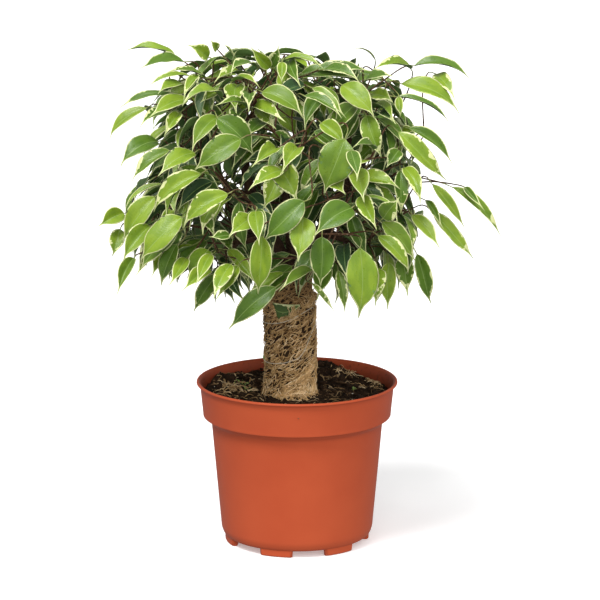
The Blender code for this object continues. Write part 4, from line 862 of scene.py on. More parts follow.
class Skin:
    """Points in millimetres, faces, and values at the points, gathered for one piece."""

    def __init__(self):
        self.points = []
        self.values = []
        self.corners = []
        self.sizes = []
        self.slots = []
        self.spread = []
        self.count = 0

    def add(self, points, faces, slot=0, values=(0.0, 0.0, 0.0, 0.0), spread=None):
        """faces holds all corners in a row and the number of corners of each face."""
        corners, sizes = faces
        points = np.asarray(points, dtype=float)
        known = np.asarray(values, dtype=float)
        kept = np.zeros((len(points), 5))
        kept[:, :known.shape[-1]] = known
        self.points.append(points)
        self.values.append(kept)
        self.corners.append(corners + self.count)
        self.sizes.append(sizes)
        self.slots.append(np.broadcast_to(np.asarray(slot), (len(sizes),)))
        self.spread.append(np.zeros((len(corners), 2)) if spread is None else spread)
        self.count += len(points)

    def mesh(self, name, baked=False):
        corners = np.concatenate(self.corners).astype(np.int32)
        sizes = np.concatenate(self.sizes).astype(np.int32)
        points = np.concatenate(self.points) * MM + np.array(SHIFT)
        mesh = bpy.data.meshes.new(name)
        mesh.vertices.add(len(points))
        mesh.vertices.foreach_set("co", points.ravel())
        mesh.loops.add(len(corners))
        mesh.loops.foreach_set("vertex_index", corners)
        mesh.polygons.add(len(sizes))
        mesh.polygons.foreach_set("loop_start", np.concatenate([[0], np.cumsum(sizes)[:-1]]).astype(np.int32))
        mesh.polygons.foreach_set("material_index", np.concatenate(self.slots).astype(np.int32))
        mesh.update(calc_edges=True)
        values = np.concatenate(self.values)
        place = mesh.attributes.new("place", "FLOAT_VECTOR", "POINT")
        place.data.foreach_set("vector", values[:, :3].ravel())
        for attribute, column in (("tone", 3), ("edge", 4)):
            layer = mesh.attributes.new(attribute, "FLOAT", "POINT")
            layer.data.foreach_set("value", values[:, column].copy())
        if baked:
            layer = mesh.uv_layers.new(name="OFBake")
            layer.data.foreach_set("uv", np.concatenate(self.spread).ravel())
        mesh.validate()
        mesh.shade_smooth()
        return mesh

    def piece(self, name, materials, nodes=(), baked=False):
        """The finished piece, which rides on the plant and stands for the named solids."""
        mesh = self.mesh(name, baked)
        for material in materials:
            mesh.materials.append(material)
        return show(bpy.data.objects.new(name, mesh), nodes)


def show(thing, nodes=()):
    """Put a piece in the scene."""
    bpy.context.scene.collection.objects.link(thing)
    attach(thing, "root")
    if nodes:
        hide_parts(*nodes)
    return thing


def face_list(faces):
    return np.array([i for face in faces for i in face]), np.array([len(face) for face in faces])


def tube_faces(rings, sides):
    """Faces of a closed tube of rings, with a cap at each end."""
    faces = [tuple(reversed(range(sides)))]
    for i in range(rings - 1):
        for k in range(sides):
            a = i * sides + k
            b = i * sides + (k + 1) % sides
            faces.append((a, b, b + sides, a + sides))
    faces.append(tuple(range((rings - 1) * sides, rings * sides)))
    return face_list(faces)


def tube_spread(rings, sides):
    """Places of a tube's face corners on a unit square: along it and round it."""
    spread = [(0.0, k / sides) for k in reversed(range(sides))]
    for i in range(rings - 1):
        low = i / (rings - 1)
        high = (i + 1) / (rings - 1)
        for k in range(sides):
            spread += [(low, k / sides), (low, (k + 1) / sides), (high, (k + 1) / sides), (high, k / sides)]
    spread += [(1.0, k / sides) for k in range(sides)]
    return np.array(spread)


def many_tubes(paths, radii, lift, sides, flat=1.0):
    """Points of tubes along paths (count, rings, 3), and their faces. lift points away from the surface
    that they lie on, and flat presses them against it."""
    paths = np.asarray(paths, dtype=float)
    count, rings, _ = paths.shape
    ahead = np.gradient(paths, axis=1)
    ahead /= np.linalg.norm(ahead, axis=2, keepdims=True) + 1e-12
    side = np.cross(ahead, np.broadcast_to(lift, paths.shape))
    side /= np.linalg.norm(side, axis=2, keepdims=True) + 1e-12
    top = np.cross(side, ahead)
    turns = 2 * math.pi * np.arange(sides) / sides
    wide = side[:, :, None, :] * np.cos(turns)[None, None, :, None]
    high = top[:, :, None, :] * np.sin(turns)[None, None, :, None] * flat
    points = paths[:, :, None, :] + (wide + high) * np.asarray(radii)[:, :, None, None]
    corners, sizes = tube_faces(rings, sides)
    offsets = np.arange(count) * rings * sides
    all_corners = (corners[None, :] + offsets[:, None]).ravel()
    return points.reshape(-1, 3), (all_corners, np.tile(sizes, count))


# Fine blade: its sections along, points across its top and across its underside, and its half-width
SECTIONS = np.array([0.0, 0.025, 0.06, 0.11, 0.18, 0.26, 0.35, 0.44, 0.53, 0.61, 0.68, 0.74, 0.79, 0.84, 0.90, 0.96])
TOP_ACROSS = np.array([-1.0, -0.86, -0.6, -0.3, 0.0, 0.3, 0.6, 0.86, 1.0])
UNDER_ACROSS = np.array([0.7, 0.3, 0.0, -0.3, -0.7])
WIDTHS = [
    (0, 0.05), (0.03, 0.20), (0.07, 0.46), (0.13, 0.70), (0.20, 0.87), (0.30, 0.985), (0.38, 1.0), (0.48, 0.96),
    (0.56, 0.86), (0.63, 0.70), (0.69, 0.52), (0.74, 0.36), (0.79, 0.22), (0.84, 0.13), (0.90, 0.08), (1.0, 0.025),
]
RING = len(TOP_ACROSS) + len(UNDER_ACROSS)
ACROSS = np.concatenate([TOP_ACROSS, UNDER_ACROSS])


def blade_faces():
    """Faces of the fine blade, their material slots, and their corners' places on a cell of the map."""
    faces = []
    slots = []
    spread = []
    tops = len(TOP_ACROSS) - 1
    levels = list(SECTIONS) + [1.0]

    def file(face, low_high, top):
        faces.append(face)
        slots.append(0 if top else 1)
        for along, across in low_high:
            up = 0.03 + (across + 1) / 2 * 0.40
            spread.append((0.03 + along * 0.94, up if top else up + 0.44))

    file(tuple(reversed(range(RING))), [(0.0, ACROSS[k]) for k in reversed(range(RING))], False)
    for i in range(len(SECTIONS) - 1):
        for k in range(RING):
            n = (k + 1) % RING
            a, b = i * RING + k, i * RING + n
            low, high = levels[i], levels[i + 1]
            ends = [(low, ACROSS[k]), (low, ACROSS[n]), (high, ACROSS[n]), (high, ACROSS[k])]
            file((a, b, b + RING, a + RING), ends, k < tops)
    last = (len(SECTIONS) - 1) * RING
    tip = len(SECTIONS) * RING
    for k in range(RING):
        n = (k + 1) % RING
        ends = [(levels[-2], ACROSS[k]), (levels[-2], ACROSS[n]), (1.0, 0.0)]
        file((last + k, last + n, tip), ends, k < tops)
    corners, sizes = face_list(faces)
    return (corners, sizes), np.array(slots), np.array(spread)


BLADE_TEMPLATE = blade_faces()


def fine_blade(leaf, rng):
    """Points of the fine blade: folded along its rib, each half arched, its margin waved, its tip hooked."""
    along = SECTIONS[:, None]
    across = ACROSS[None, :]
    arch = leaf["arch"]
    turn = arch * (along - 0.5)
    reach = leaf["length"] * (np.sin(turn) + math.sin(arch / 2)) / arch
    rise = leaf["length"] * (np.cos(turn) - math.cos(arch / 2)) / arch
    half = leaf["width"] * 0.52 * np.interp(along, *zip(*WIDTHS))
    fold = math.radians(rng.uniform(26, 48))
    wave = rng.uniform(0.3, 1.1) * np.sin(along * rng.uniform(10, 19) + np.sign(across) * rng.uniform(0.5, 2.5))
    span = np.abs(across)
    lift = half * (math.sin(fold) * span - rng.uniform(0.10, 0.30) * span ** 2) + wave * span ** 2 * half / 9
    out = half * across * math.cos(fold) * 1.06
    hooked = np.clip((along - 0.70) / 0.30, 0, 1) ** 2
    drop = rng.uniform(0.2, 3.2)
    swing = rng.uniform(-2.0, 2.0)
    bend = rng.uniform(-0.05, 0.05) * leaf["length"] * np.sin(along * math.pi) + swing * hooked
    thick = np.zeros(RING)
    thick[len(TOP_ACROSS):] = -0.16 - 0.30 * (1 - np.abs(UNDER_ACROSS)) ** 1.5
    groove = np.where(np.arange(RING) == len(TOP_ACROSS) // 2, -0.12, 0.0)
    lift = lift + thick[None, :] * np.minimum(1, half / 2) + groove[None, :] - drop * hooked
    face = np.cos(turn)[..., None] * np.array(leaf["up"]) + np.sin(turn)[..., None] * np.array(leaf["along"])
    points = np.array(leaf["base"]) + reach[..., None] * np.array(leaf["along"])
    points = points + rise[..., None] * np.array(leaf["up"]) + face * lift[..., None]
    points = points + (out + bend)[..., None] * np.array(leaf["side"])
    middle, up, _ = blade_frame(leaf, 1)
    tip = middle - up * drop + leaf["side"] * swing
    return np.concatenate([points.reshape(-1, 3), [np.array(tip)]])


def twig_path(spots, count):
    """A smooth line through spots, with its points evenly set."""
    spots = np.array([tuple(p) for p in spots])
    before = np.vstack([spots[0] * 2 - spots[1], spots, spots[-1] * 2 - spots[-2]])
    points = []
    steps = 6
    for i in range(len(spots) - 1):
        a, b, c, d = before[i:i + 4]
        for k in range(steps):
            t = k / steps
            points.append(0.5 * (2 * b + (c - a) * t + (2 * a - 5 * b + 4 * c - d) * t * t
                                 + (3 * b - a - 3 * c + d) * t ** 3))
    points.append(spots[-1])
    points = np.array(points)
    walked = np.concatenate([[0], np.cumsum(np.linalg.norm(np.diff(points, axis=0), axis=1))])
    even = np.linspace(0, walked[-1], count)
    return np.column_stack([np.interp(even, walked, points[:, k]) for k in range(3)]), walked[-1]


def turning_frames(path):
    """A side direction for each point of a path, carried along it without twisting."""
    ahead = np.gradient(path, axis=0)
    ahead /= np.linalg.norm(ahead, axis=1, keepdims=True)
    side = np.array(Vector(ahead[0]).orthogonal().normalized())
    sides = []
    for way in ahead:
        side = side - way * side.dot(way)
        side /= np.linalg.norm(side)
        sides.append(side)
    return ahead, np.array(sides)


def one_tube(path, radii, sides):
    """Points and faces of one closed tube."""
    ahead, side = turning_frames(path)
    top = np.cross(ahead, side)
    turns = 2 * math.pi * np.arange(sides) / sides
    ring = side[:, None, :] * np.cos(turns)[None, :, None] + top[:, None, :] * np.sin(turns)[None, :, None]
    points = path[:, None, :] + ring * np.asarray(radii)[:, None, None]
    return points.reshape(-1, 3), tube_faces(len(path), sides)


def leaf_tone_and_crown_shade(leaf, rng):
    """How light a leaf is: lime, green or deep green, oftener light outside and dark within the crown, and lighter
    among the front leaves. The darkening within the crown and behind the front leaves is partly painted shade of the
    crown's inside, partly the darker colour of older inner leaves.
    """
    middle = blade_frame(leaf, 0.5)[0]
    if middle.z > CROWN_MIDDLE:
        level = (middle.z - CROWN_MIDDLE) / (CROWN_TOP - CROWN_MIDDLE)
    else:
        level = (CROWN_MIDDLE - middle.z) / (CROWN_MIDDLE - CROWN_BOTTOM) * 0.6
    out = math.sqrt((middle.x ** 2 + middle.y ** 2) / CROWN_RADIUS ** 2 + level ** 2)
    place = min(1.0, max(0.0, 1.5 * (out - 0.32)))
    # painted light: the leaves of the front view get lighter tones than those behind and within the crown
    if leaf["name"].startswith("front"):
        return 0.20 + 0.24 * place + 0.54 * rng.random()
    return 0.36 * place + 0.56 * rng.random()


def add_leaf(skin, leaf, cell, cells):
    """A fine blade on its cell of the map."""
    rng = random.Random("fine " + leaf["name"])
    faces, slots, spread = BLADE_TEMPLATE
    points = fine_blade(leaf, rng)
    half = leaf["width"] * 0.52 * np.interp(SECTIONS, *zip(*WIDTHS))[:, None]
    values = np.zeros((len(points), 5))
    values[:-1, 0] = np.repeat(SECTIONS, RING)
    values[:-1, 1] = (half * ACROSS).ravel()
    values[:-1, 4] = (half * (1 - np.abs(ACROSS))).ravel()
    values[-1, 0] = 1.0
    values[:, 2] = rng.random()
    # leaf colour class, darker deeper in the crown: partly painted shade, partly older leaves
    values[:, 3] = leaf_tone_and_crown_shade(leaf, rng)
    corner = np.array([cell % cells, cell // cells])
    skin.add(points, faces, slots, values, (corner + spread) / cells)


def add_stem(skin, path, radii, sides, cell, cells, seed, age):
    """A round twig or stalk on its strip of the map."""
    points, faces = one_tube(path, radii, sides)
    values = np.zeros((len(points), 4))
    values[:, 0] = np.repeat(np.linspace(0, 1, len(path)), sides)
    values[:, 2] = seed
    values[:, 3] = np.repeat(age, sides)
    corner = np.array([cell % cells, cell // cells])
    spread = np.array([0.03, 0.90]) + tube_spread(len(path), sides) * np.array([0.94, 0.08])
    skin.add(points, faces, 2, values, (corner + spread) / cells)


def foliage(branch, materials):
    """One branch's twigs, stalks and leaves as a fine piece."""
    skin = Skin()
    loads = branch.loads()
    total = len(branch.leaves) + len(branch.side_leaves)
    cells = math.ceil(math.sqrt(total))
    number = 0
    for run, (_, leaf) in zip(branch.runs[1:], branch.leaves):
        spots = [branch.spots[joint] for joint in run]
        radii = [0.48 + 0.6 * (branch.radius(loads[joint]) - 0.8) for joint in run]
        if number == 0:
            spots = [branch.spots[0]] + spots
            radii = [BRANCH_RADIUS] + radii
        spots = spots + [leaf["base"] + blade_frame(leaf, 0)[2] * 1.2]
        radii = radii + [0.42]
        count = max(8, int(sum((b - a).length for a, b in zip(spots, spots[1:])) / 3.5))
        path, _ = twig_path(spots, count)
        walked = np.linspace(0, 1, count)
        marks = np.concatenate([[0], np.cumsum([(b - a).length for a, b in zip(spots, spots[1:])])])
        thick = np.interp(walked, marks / marks[-1], radii)
        thick *= 1 + 0.10 * np.sin(walked * marks[-1] / 3.1 + branch.number)
        thick[0] *= 0.8
        age = np.clip((thick - 0.48) / 0.3, 0, 1)
        add_stem(skin, path, thick, 7, number, cells, random.Random(leaf["name"]).random(), age)
        add_leaf(skin, leaf, number, cells)
        number += 1
    for leaf in branch.side_leaves:
        end = leaf["base"] + blade_frame(leaf, 0)[2] * 1.2
        middle = (leaf["root"] + leaf["base"]) / 2 + leaf["stalk"] * 0.4
        path, _ = twig_path([leaf["root"], middle, end], 6)
        add_stem(skin, path, np.array([0.6, 0.48, 0.42, 0.40, 0.42, 0.40]), 5, number, cells, 0.5, np.zeros(6))
        add_leaf(skin, leaf, number, cells)
        number += 1
    name = f"{branch.number + 1:02d}"
    return skin.piece(f"foliage_{name}", materials, (f"leafy_branch_{name}",), True)


def grow_more(room, branches, shell_count, side_gap, side_tries):
    """More leaves between those that have grown, on the same twigs and on new ones."""
    for i in range(shell_count):
        rng = random.Random(f"more {i}")
        leaf = shell_leaf(i, shell_count, rng)
        placed = settle_leaf(room, leaf, f"more {i}", rng, 4, True)
        if not placed:
            continue
        kept = within(blade_frame(placed, 1)[0], CAD_LIMITS)
        for branch in sorted(branches, key=lambda one: one.cost(placed["root"]))[:5 if kept else 0]:
            if branch.reach(room, placed, rng, 5):
                break
        else:
            room.drop(("blade", placed["name"]))
            room.drop(("stalk", placed["name"]))
    for branch in branches:
        grow_side_leaves(room, branch, side_gap, side_tries, "more", 400)
    for branch in branches:
        branch.side_leaves = [leaf for leaf in branch.side_leaves if within(blade_frame(leaf, 1)[0], CAD_LIMITS)]


def within(point, limits):
    low, high = limits
    return all(low[k] <= point[k] <= high[k] for k in range(3))


# Turned and swept forms

def rounded(profile, steps=5):
    """A profile of radius, height and corner rounding as a line with arcs at its corners."""
    line = []
    for i, (x, z, size) in enumerate(profile):
        here = np.array([x, z], dtype=float)
        if i in (0, len(profile) - 1) or size == 0:
            line.append(here)
            continue
        before = np.array(profile[i - 1][:2]) - here
        after = np.array(profile[i + 1][:2]) - here
        cut = min(size, 0.45 * np.linalg.norm(before), 0.45 * np.linalg.norm(after))
        start = here + before / np.linalg.norm(before) * cut
        end = here + after / np.linalg.norm(after) * cut
        for k in range(steps + 1):
            t = k / steps
            line.append(start * (1 - t) ** 2 + here * 2 * t * (1 - t) + end * t ** 2)
    return np.array(line)


def spaced(line, most):
    """A line with its long stretches divided."""
    points = [line[0]]
    for a, b in zip(line, line[1:]):
        count = max(1, math.ceil(np.linalg.norm(b - a) / most))
        points += [a + (b - a) * k / count for k in range(1, count + 1)]
    return np.array(points)


def turned_form(line, steps):
    """Points and faces of a closed form turned round the vertical axis. The line starts and ends on it."""
    turns = 2 * math.pi * np.arange(steps) / steps
    inner = line[1:-1]
    points = np.zeros((len(inner), steps, 3))
    points[:, :, 0] = inner[:, 0, None] * np.cos(turns)
    points[:, :, 1] = inner[:, 0, None] * np.sin(turns)
    points[:, :, 2] = inner[:, 1, None]
    flat = points.reshape(-1, 3)
    first = len(flat)
    flat = np.vstack([flat, [0, 0, line[0][1]], [0, 0, line[-1][1]]])
    faces = [(first, k, (k + 1) % steps) for k in range(steps)]
    for i in range(len(inner) - 1):
        for k in range(steps):
            a, b = i * steps + k, i * steps + (k + 1) % steps
            faces.append((a, a + steps, b + steps, b))
    last = (len(inner) - 1) * steps
    faces += [(first + 1, last + (k + 1) % steps, last + k) for k in range(steps)]
    return flat, faces


POT_LINE = [
    (0, 5.3, 0), (62.2, 5.3, 3), (70.7, 103.0, 4), (77.6, 110.2, 4), (79.9, 131.0, 6), (81.6, 136.2, 2.5),
    (83.4, 137.3, 1.2), (84.9, 136.9, 0.7), (85.1, 135.4, 0.4), (83.0, 135.4, 0.3), (82.3, 133.6, 0.8),
    (81.8, 131.0, 2), (79.7, 110.4, 0.6), (79.5, 107.6, 0.5), (78.7, 107.3, 0.2), (77.0, 108.9, 0.3),
    (76.3, 107.6, 0.5), (75.2, 105.2, 1.2), (72.9, 102.6, 1.2), (72.4, 100.8, 1.0), (64.2, 9.5, 5), (61.6, 3.7, 3), (0, 3.7, 0),
]
POT_STEPS = 180


def fine_pot(materials):
    """The pot with its curled lip, collar, shoulder, feet and drain holes."""
    line = spaced(rounded(POT_LINE), 6.0)
    points, faces = turned_form(line, POT_STEPS)
    top = int(np.argmax(line[:, 1]))
    skin = Skin()
    inner = POT_STEPS + (top - 1) * POT_STEPS
    slots = np.zeros(len(faces), dtype=int)
    slots[:inner] = 1
    skin.add(points, face_list(faces), slots)
    mesh = skin.mesh("nursery_pot")
    pot = bpy.data.objects.new("nursery_pot", mesh)
    bpy.context.scene.collection.objects.link(pot)
    for material in materials:
        mesh.materials.append(material)
    cutters = Skin()
    feet = Skin()
    for degrees in FOOT_TURNS:
        turn = math.radians(degrees) + math.pi / len(FOOT_TURNS)
        x, y = DRAIN_CIRCLE * math.cos(turn), DRAIN_CIRCLE * math.sin(turn)
        path = np.array([[x, y, 1.0], [x, y, 8.0]])
        cutters.add(*one_tube(path, [DRAIN_RADIUS, DRAIN_RADIUS], 32), 1)
        feet.add(*foot_form(math.radians(degrees)))
    for tool, operation in ((cutters, "DIFFERENCE"), (feet, "UNION")):
        other = bpy.data.objects.new("tool", tool.mesh("tool"))
        bpy.context.scene.collection.objects.link(other)
        modifier = pot.modifiers.new(operation, "BOOLEAN")
        modifier.operation = operation
        modifier.object = other
        bpy.context.view_layer.update()
        done = bpy.data.meshes.new_from_object(pot.evaluated_get(bpy.context.evaluated_depsgraph_get()))
        pot.modifiers.clear()
        pot.data = done
        bpy.data.objects.remove(other, do_unlink=True)
    pot.data.name = "nursery_pot"
    pot.data.shade_smooth()
    pot.data.set_sharp_from_angle(angle=math.radians(38))
    bpy.context.scene.collection.objects.unlink(pot)
    return show(pot, ("pot",))


def foot_form(middle):
    """A foot: a bar bent round under the pot's edge, a little tapered, its ends rounded, its root sunk in."""
    low, high = -LEVEL, POT_BASE_HEIGHT + 0.8
    wall = FOOT_DEPTH / 2
    section = [(-wall, high), (wall, high), (wall - 0.2, low + 0.8), (wall - 1.0, low), (1.0 - wall, low), (0.2 - wall, low + 0.8)]
    steps = 16
    points = []
    for i in range(steps + 1):
        part = 2 * i / steps - 1
        slim = math.sqrt(1 - 0.72 * max(0.0, (abs(part) - 0.84) / 0.16) ** 2)
        for side, height in section:
            taper = 1 - 0.035 * (high - height) / (high - low)
            turn = middle + FOOT_SPAN / 2 * part * taper
            radius = FOOT_RADIUS - wall + side * slim
            points.append((radius * math.cos(turn), radius * math.sin(turn), height))
    faces = [tuple(range(6))]
    for i in range(steps):
        for k in range(6):
            a, b = i * 6 + k, i * 6 + (k + 1) % 6
            faces.append((a, a + 6, b + 6, b))
    faces.append(tuple(reversed(range(steps * 6, steps * 6 + 6))))
    return np.array(points), face_list(faces)


def soil_height(x, y):
    """Height of the soil, which is heaped against the wall at the back right and a little at the left."""
    slope = 0.02 * y - 0.015 * x
    heap = 10 * math.exp(-((x - 25) / 20) ** 2 - ((y - 72) / 24) ** 2)
    heap += 6 * math.exp(-((x + 66) / 14) ** 2 - ((y - 40) / 14) ** 2)
    lumps = 0.9 * math.sin(x * 0.11 + 1.3) * math.cos(y * 0.09 + 0.4) + 0.6 * math.sin(x * 0.05 - y * 0.13)
    return SOIL_TOP + slope + heap + lumps


def fine_height(x, y):
    """Height of the soil with its clods and grains."""
    spot = Vector((x, y, 0))
    clods = noise.fractal(spot * 0.10, 1.0, 2.0, 3) * 1.9
    grains = noise.fractal(spot * 0.5, 0.8, 2.1, 3) * 0.9
    return soil_height(x, y) + clods + grains - 0.4


def soil_bed(material):
    """The soil's body: a rough top, sides that follow the pot, and the hole for the stump."""
    steps = 240
    rings = 72
    turns = 2 * math.pi * np.arange(steps) / steps
    cos, sin = np.cos(turns), np.sin(turns)
    points = []
    for height in (HOLE_FLOOR, HOLE_FLOOR + 12):
        points += [(STUMP_X + (HOLE_RADIUS - 0.2) * c, (HOLE_RADIUS - 0.2) * s, height) for c, s in zip(cos, sin)]
    for i in range(rings + 1):
        part = i / rings
        centre = STUMP_X * (1 - part)
        for c, s in zip(cos, sin):
            edge = float(np.interp(soil_height(78 * c, 78 * s) - 1, (110, 131, 136), (77.5, 79.8, 81.4)))
            radius = (HOLE_RADIUS - 0.2) * (1 - part) + edge * part
            x, y = centre + radius * c, radius * s
            points.append((x, y, fine_height(x, y) + 1.5 * math.exp(-part * rings / 3) - 1.0 * part ** 8))
    for radius, height in ((77.3, 110.4), (70.3, 103.0), (61.8, 8.5), (59.0, 5.7)):
        points += [(radius * c, radius * s, height) for c, s in zip(cos, sin)]
    count = len(points) // steps
    faces = []
    for i in range(count - 1):
        for k in range(steps):
            a, b = i * steps + k, i * steps + (k + 1) % steps
            faces.append((a, a + steps, b + steps, b))
    faces.append(tuple(range(steps)))
    faces.append(tuple(reversed(range((count - 1) * steps, count * steps))))
    skin = Skin()
    skin.add(points, face_list(faces))
    return skin.piece("soil_bed", [material], ("soil",))


def lump_shape(level):
    """Points and faces of a round lump."""
    shape = bmesh.new()
    bmesh.ops.create_icosphere(shape, subdivisions=level, radius=1.0)
    points = np.array([tuple(v.co) for v in shape.verts])
    faces = face_list([tuple(v.index for v in f.verts) for f in shape.faces])
    shape.free()
    return points, faces


def soil_spot(rng, inner=HOLE_RADIUS + 0.6, outer=77.5):
    """A place on the soil."""
    while True:
        x, y = rng.uniform(-outer, outer), rng.uniform(-outer, outer)
        if x * x + y * y < outer * outer and (x - STUMP_X) ** 2 + y * y > inner * inner:
            return x, y


def soil_crumbs(material):
    """Clods, crumbs, bark chips and pale specks lying on the soil."""
    skin = Skin()
    rng = random.Random("crumbs")
    shapes = [lump_shape(1), lump_shape(2)]
    for i in range(3000):
        x, y = soil_spot(rng)
        size = min(3.8, 0.42 * math.exp(rng.gauss(0.45, 0.62)))
        points, faces = shapes[1 if size > 1.1 else 0]
        kind = rng.random()
        seed = rng.random()
        stretch = np.array([rng.uniform(0.7, 1.5), rng.uniform(0.6, 1.1), rng.uniform(0.45, 0.9)])
        if kind > 0.92:
            stretch = np.array([rng.uniform(1.6, 3.2), rng.uniform(0.5, 0.9), 0.35])
        offset = Vector((rng.uniform(0, 99), rng.uniform(0, 99), 0))
        rough = np.array([noise.noise(Vector(p) * 1.7 + offset) for p in points])
        body = points * (1 + 0.6 * rough[:, None]) * stretch * size
        turn = Matrix.Rotation(rng.uniform(0, 6.28), 3, "Z") @ Matrix.Rotation(rng.gauss(0, 0.35), 3, "X")
        body = body @ np.array(turn).T
        level = fine_height(x, y) + size * stretch[2] * rng.uniform(0.0, 0.7)
        colour = 0.95 if size < 0.8 and kind < 0.02 else (0.55 + 0.3 * seed if kind > 0.92 else 0.35 * seed)
        skin.add(body + np.array([x, y, level]), faces, 0, (0, 0, seed, colour))
    return skin.piece("soil_crumbs", [material])


def bent_lines(rng, starts, lengths, rings, height, wiggle):
    """Lines that wander over a surface from their starts. height gives the surface's height."""
    lines = []
    for (x, y), length in zip(starts, lengths):
        way = rng.uniform(0, 2 * math.pi)
        curl = rng.gauss(0, wiggle)
        line = []
        lift = rng.uniform(0.1, 0.9)
        arch = rng.uniform(0, 1.6)
        for k in range(rings):
            t = k / (rings - 1)
            line.append((x, y, height(x, y) + lift + arch * math.sin(t * math.pi)))
            way += curl / rings + rng.gauss(0, wiggle * 0.25)
            x += math.cos(way) * length / rings
            y += math.sin(way) * length / rings
            far = math.hypot(x, y)
            if far > 76.5:
                x, y = x * 76.5 / far, y * 76.5 / far
            near = math.hypot(x - STUMP_X, y)
            if near < HOLE_RADIUS + 0.6:
                x = STUMP_X + (x - STUMP_X) * (HOLE_RADIUS + 0.6) / near
                y = y * (HOLE_RADIUS + 0.6) / near
        lines.append(line)
    return np.array(lines)


def soil_fibres(material):
    """Root fibres, straw and husk strips lying on the soil."""
    skin = Skin()
    rng = random.Random("fibres")
    groups = [
        (150, (5, 14), (0.12, 0.22), 1.0, (0.1, 0.5), None, 0),
        (90, (6, 15), (0.2, 0.34), 0.6, (0.3, 0.95), None, 0),
        (45, (5, 13), (0.35, 0.6), 0.4, (0.5, 0.95), None, 0),
        (62, (4, 13), (0.3, 0.75), 0.3, (0.2, 1.0), (-56, 4, 8, 11), 2.5),
        (22, (5, 12), (0.25, 0.5), 0.4, (0.6, 1.0), (41, 57, 5, 5), 1.0),
        (22, (5, 13), (0.25, 0.5), 0.4, (0.6, 1.0), (70, 36, 4, 9), 1.0),
    ]
    for count, lengths, thick, wiggle, tones, place, high in groups:
        if place:
            starts = [(rng.gauss(place[0], place[2]), rng.gauss(place[1], place[3])) for _ in range(count)]
        else:
            starts = [soil_spot(rng) for _ in range(count)]
        sizes = [rng.uniform(*lengths) for _ in range(count)]
        paths = bent_lines(rng, starts, sizes, 9, fine_height, wiggle)
        paths[:, :, 2] += np.array([rng.uniform(0, high) for _ in range(count)])[:, None]
        radii = np.array([rng.uniform(*thick) for _ in range(count)])[:, None] * np.array([0.5] + [1.0] * 7 + [0.4])
        points, faces = many_tubes(paths, radii, (0, 0, 1), 4, 0.6)
        values = np.zeros((len(points), 4))
        values[:, 2] = np.repeat([rng.random() for _ in range(count)], 9 * 4)
        values[:, 3] = np.repeat([rng.uniform(*tones) for _ in range(count)], 9 * 4)
        skin.add(points, faces, 0, values)
    return skin.piece("soil_fibres", [material])


# Wrap

def wrap_step(turn):
    """Height of the outer coir layer's ragged top edge at a turn round the stump."""
    degrees, heights = zip(*WRAP_EDGE)
    around = math.degrees(math.atan2(math.sin(turn), math.cos(turn)))
    return float(np.interp(around, degrees, heights)) + 0.5 * math.sin(turn * 9)


def wrap_radius(turn, height):
    """Radius of the wrap's surface under its strands."""
    edge = wrap_step(turn)
    lumps = 0.5 * math.sin(turn * 3 + height * 0.09) + 0.35 * math.sin(turn * 7 - height * 0.21 + 1)
    outer = WRAP_RADIUS - 1.6 + lumps * 0.6
    if height < 140:
        outer += 0.9 * ((140 - height) / 14)
    inner = WRAP_INNER_LAYER - 0.7 + lumps * 0.3
    if height < edge - 1.5:
        return outer
    if height < edge:
        return inner + (outer - inner) * math.sqrt((edge - height) / 1.5)
    return inner


def coir_layers(material):
    """The two layers of matted coir as one closed form. It wears a near black-brown material, painted shade that shows
    in the gaps between the strands.
    """
    steps = 120
    heights = list(np.arange(HOLE_FLOOR + 1, WRAP_TOP + 0.1, 1.6))
    inner = STUMP_RADIUS + TOUCH
    points = []
    for height in [HOLE_FLOOR + TOUCH] + heights + [WRAP_TOP + 0.8]:
        for k in range(steps):
            turn = 2 * math.pi * k / steps
            radius = wrap_radius(turn, height)
            radius += 0.45 * noise.fractal(Vector(wrap_spot(turn, height, radius)) * 0.45, 1.0, 2.0, 3)
            points.append(wrap_spot(turn, height, radius - (1.0 if height > WRAP_TOP else 0.0)))
    count = len(points) // steps
    for height in (WRAP_TOP, HOLE_FLOOR + TOUCH):
        points += [wrap_spot(2 * math.pi * k / steps, height, inner) for k in range(steps)]
    faces = []
    for i in range(count + 2):
        for k in range(steps):
            a, b = i * steps + k, i * steps + (k + 1) % steps
            up = steps if i < count + 1 else -(count + 1) * steps
            faces.append((a, b, b + up, a + up))
    skin = Skin()
    skin.add(points, face_list(faces))
    return skin.piece("coir_layers", [material], ("coir_wrap",))


def add_strands(skin, rng, paths, thick, tones):
    """Strands of coir. tones gives each strand's shade."""
    paths = np.array(paths)
    count, rings, _ = paths.shape
    ends = np.array([0.55] + [1.0] * (rings - 2) + [0.4])
    radii = np.array([rng.uniform(*thick) for _ in range(count)])[:, None] * ends
    lift = paths - np.array([STUMP_X, 0, 0])
    lift[:, :, 2] = 0
    lift /= np.linalg.norm(lift, axis=2, keepdims=True)
    points, faces = many_tubes(paths, radii, lift, 4, 0.8)
    values = np.zeros((len(points), 4))
    values[:, 0] = np.tile(np.repeat(np.linspace(0, 1, rings), 4), count)
    values[:, 2] = np.repeat([rng.random() for _ in range(count)], rings * 4)
    values[:, 3] = np.repeat(np.clip(tones, 0, 1), rings * 4)
    skin.add(points, faces, 0, values)


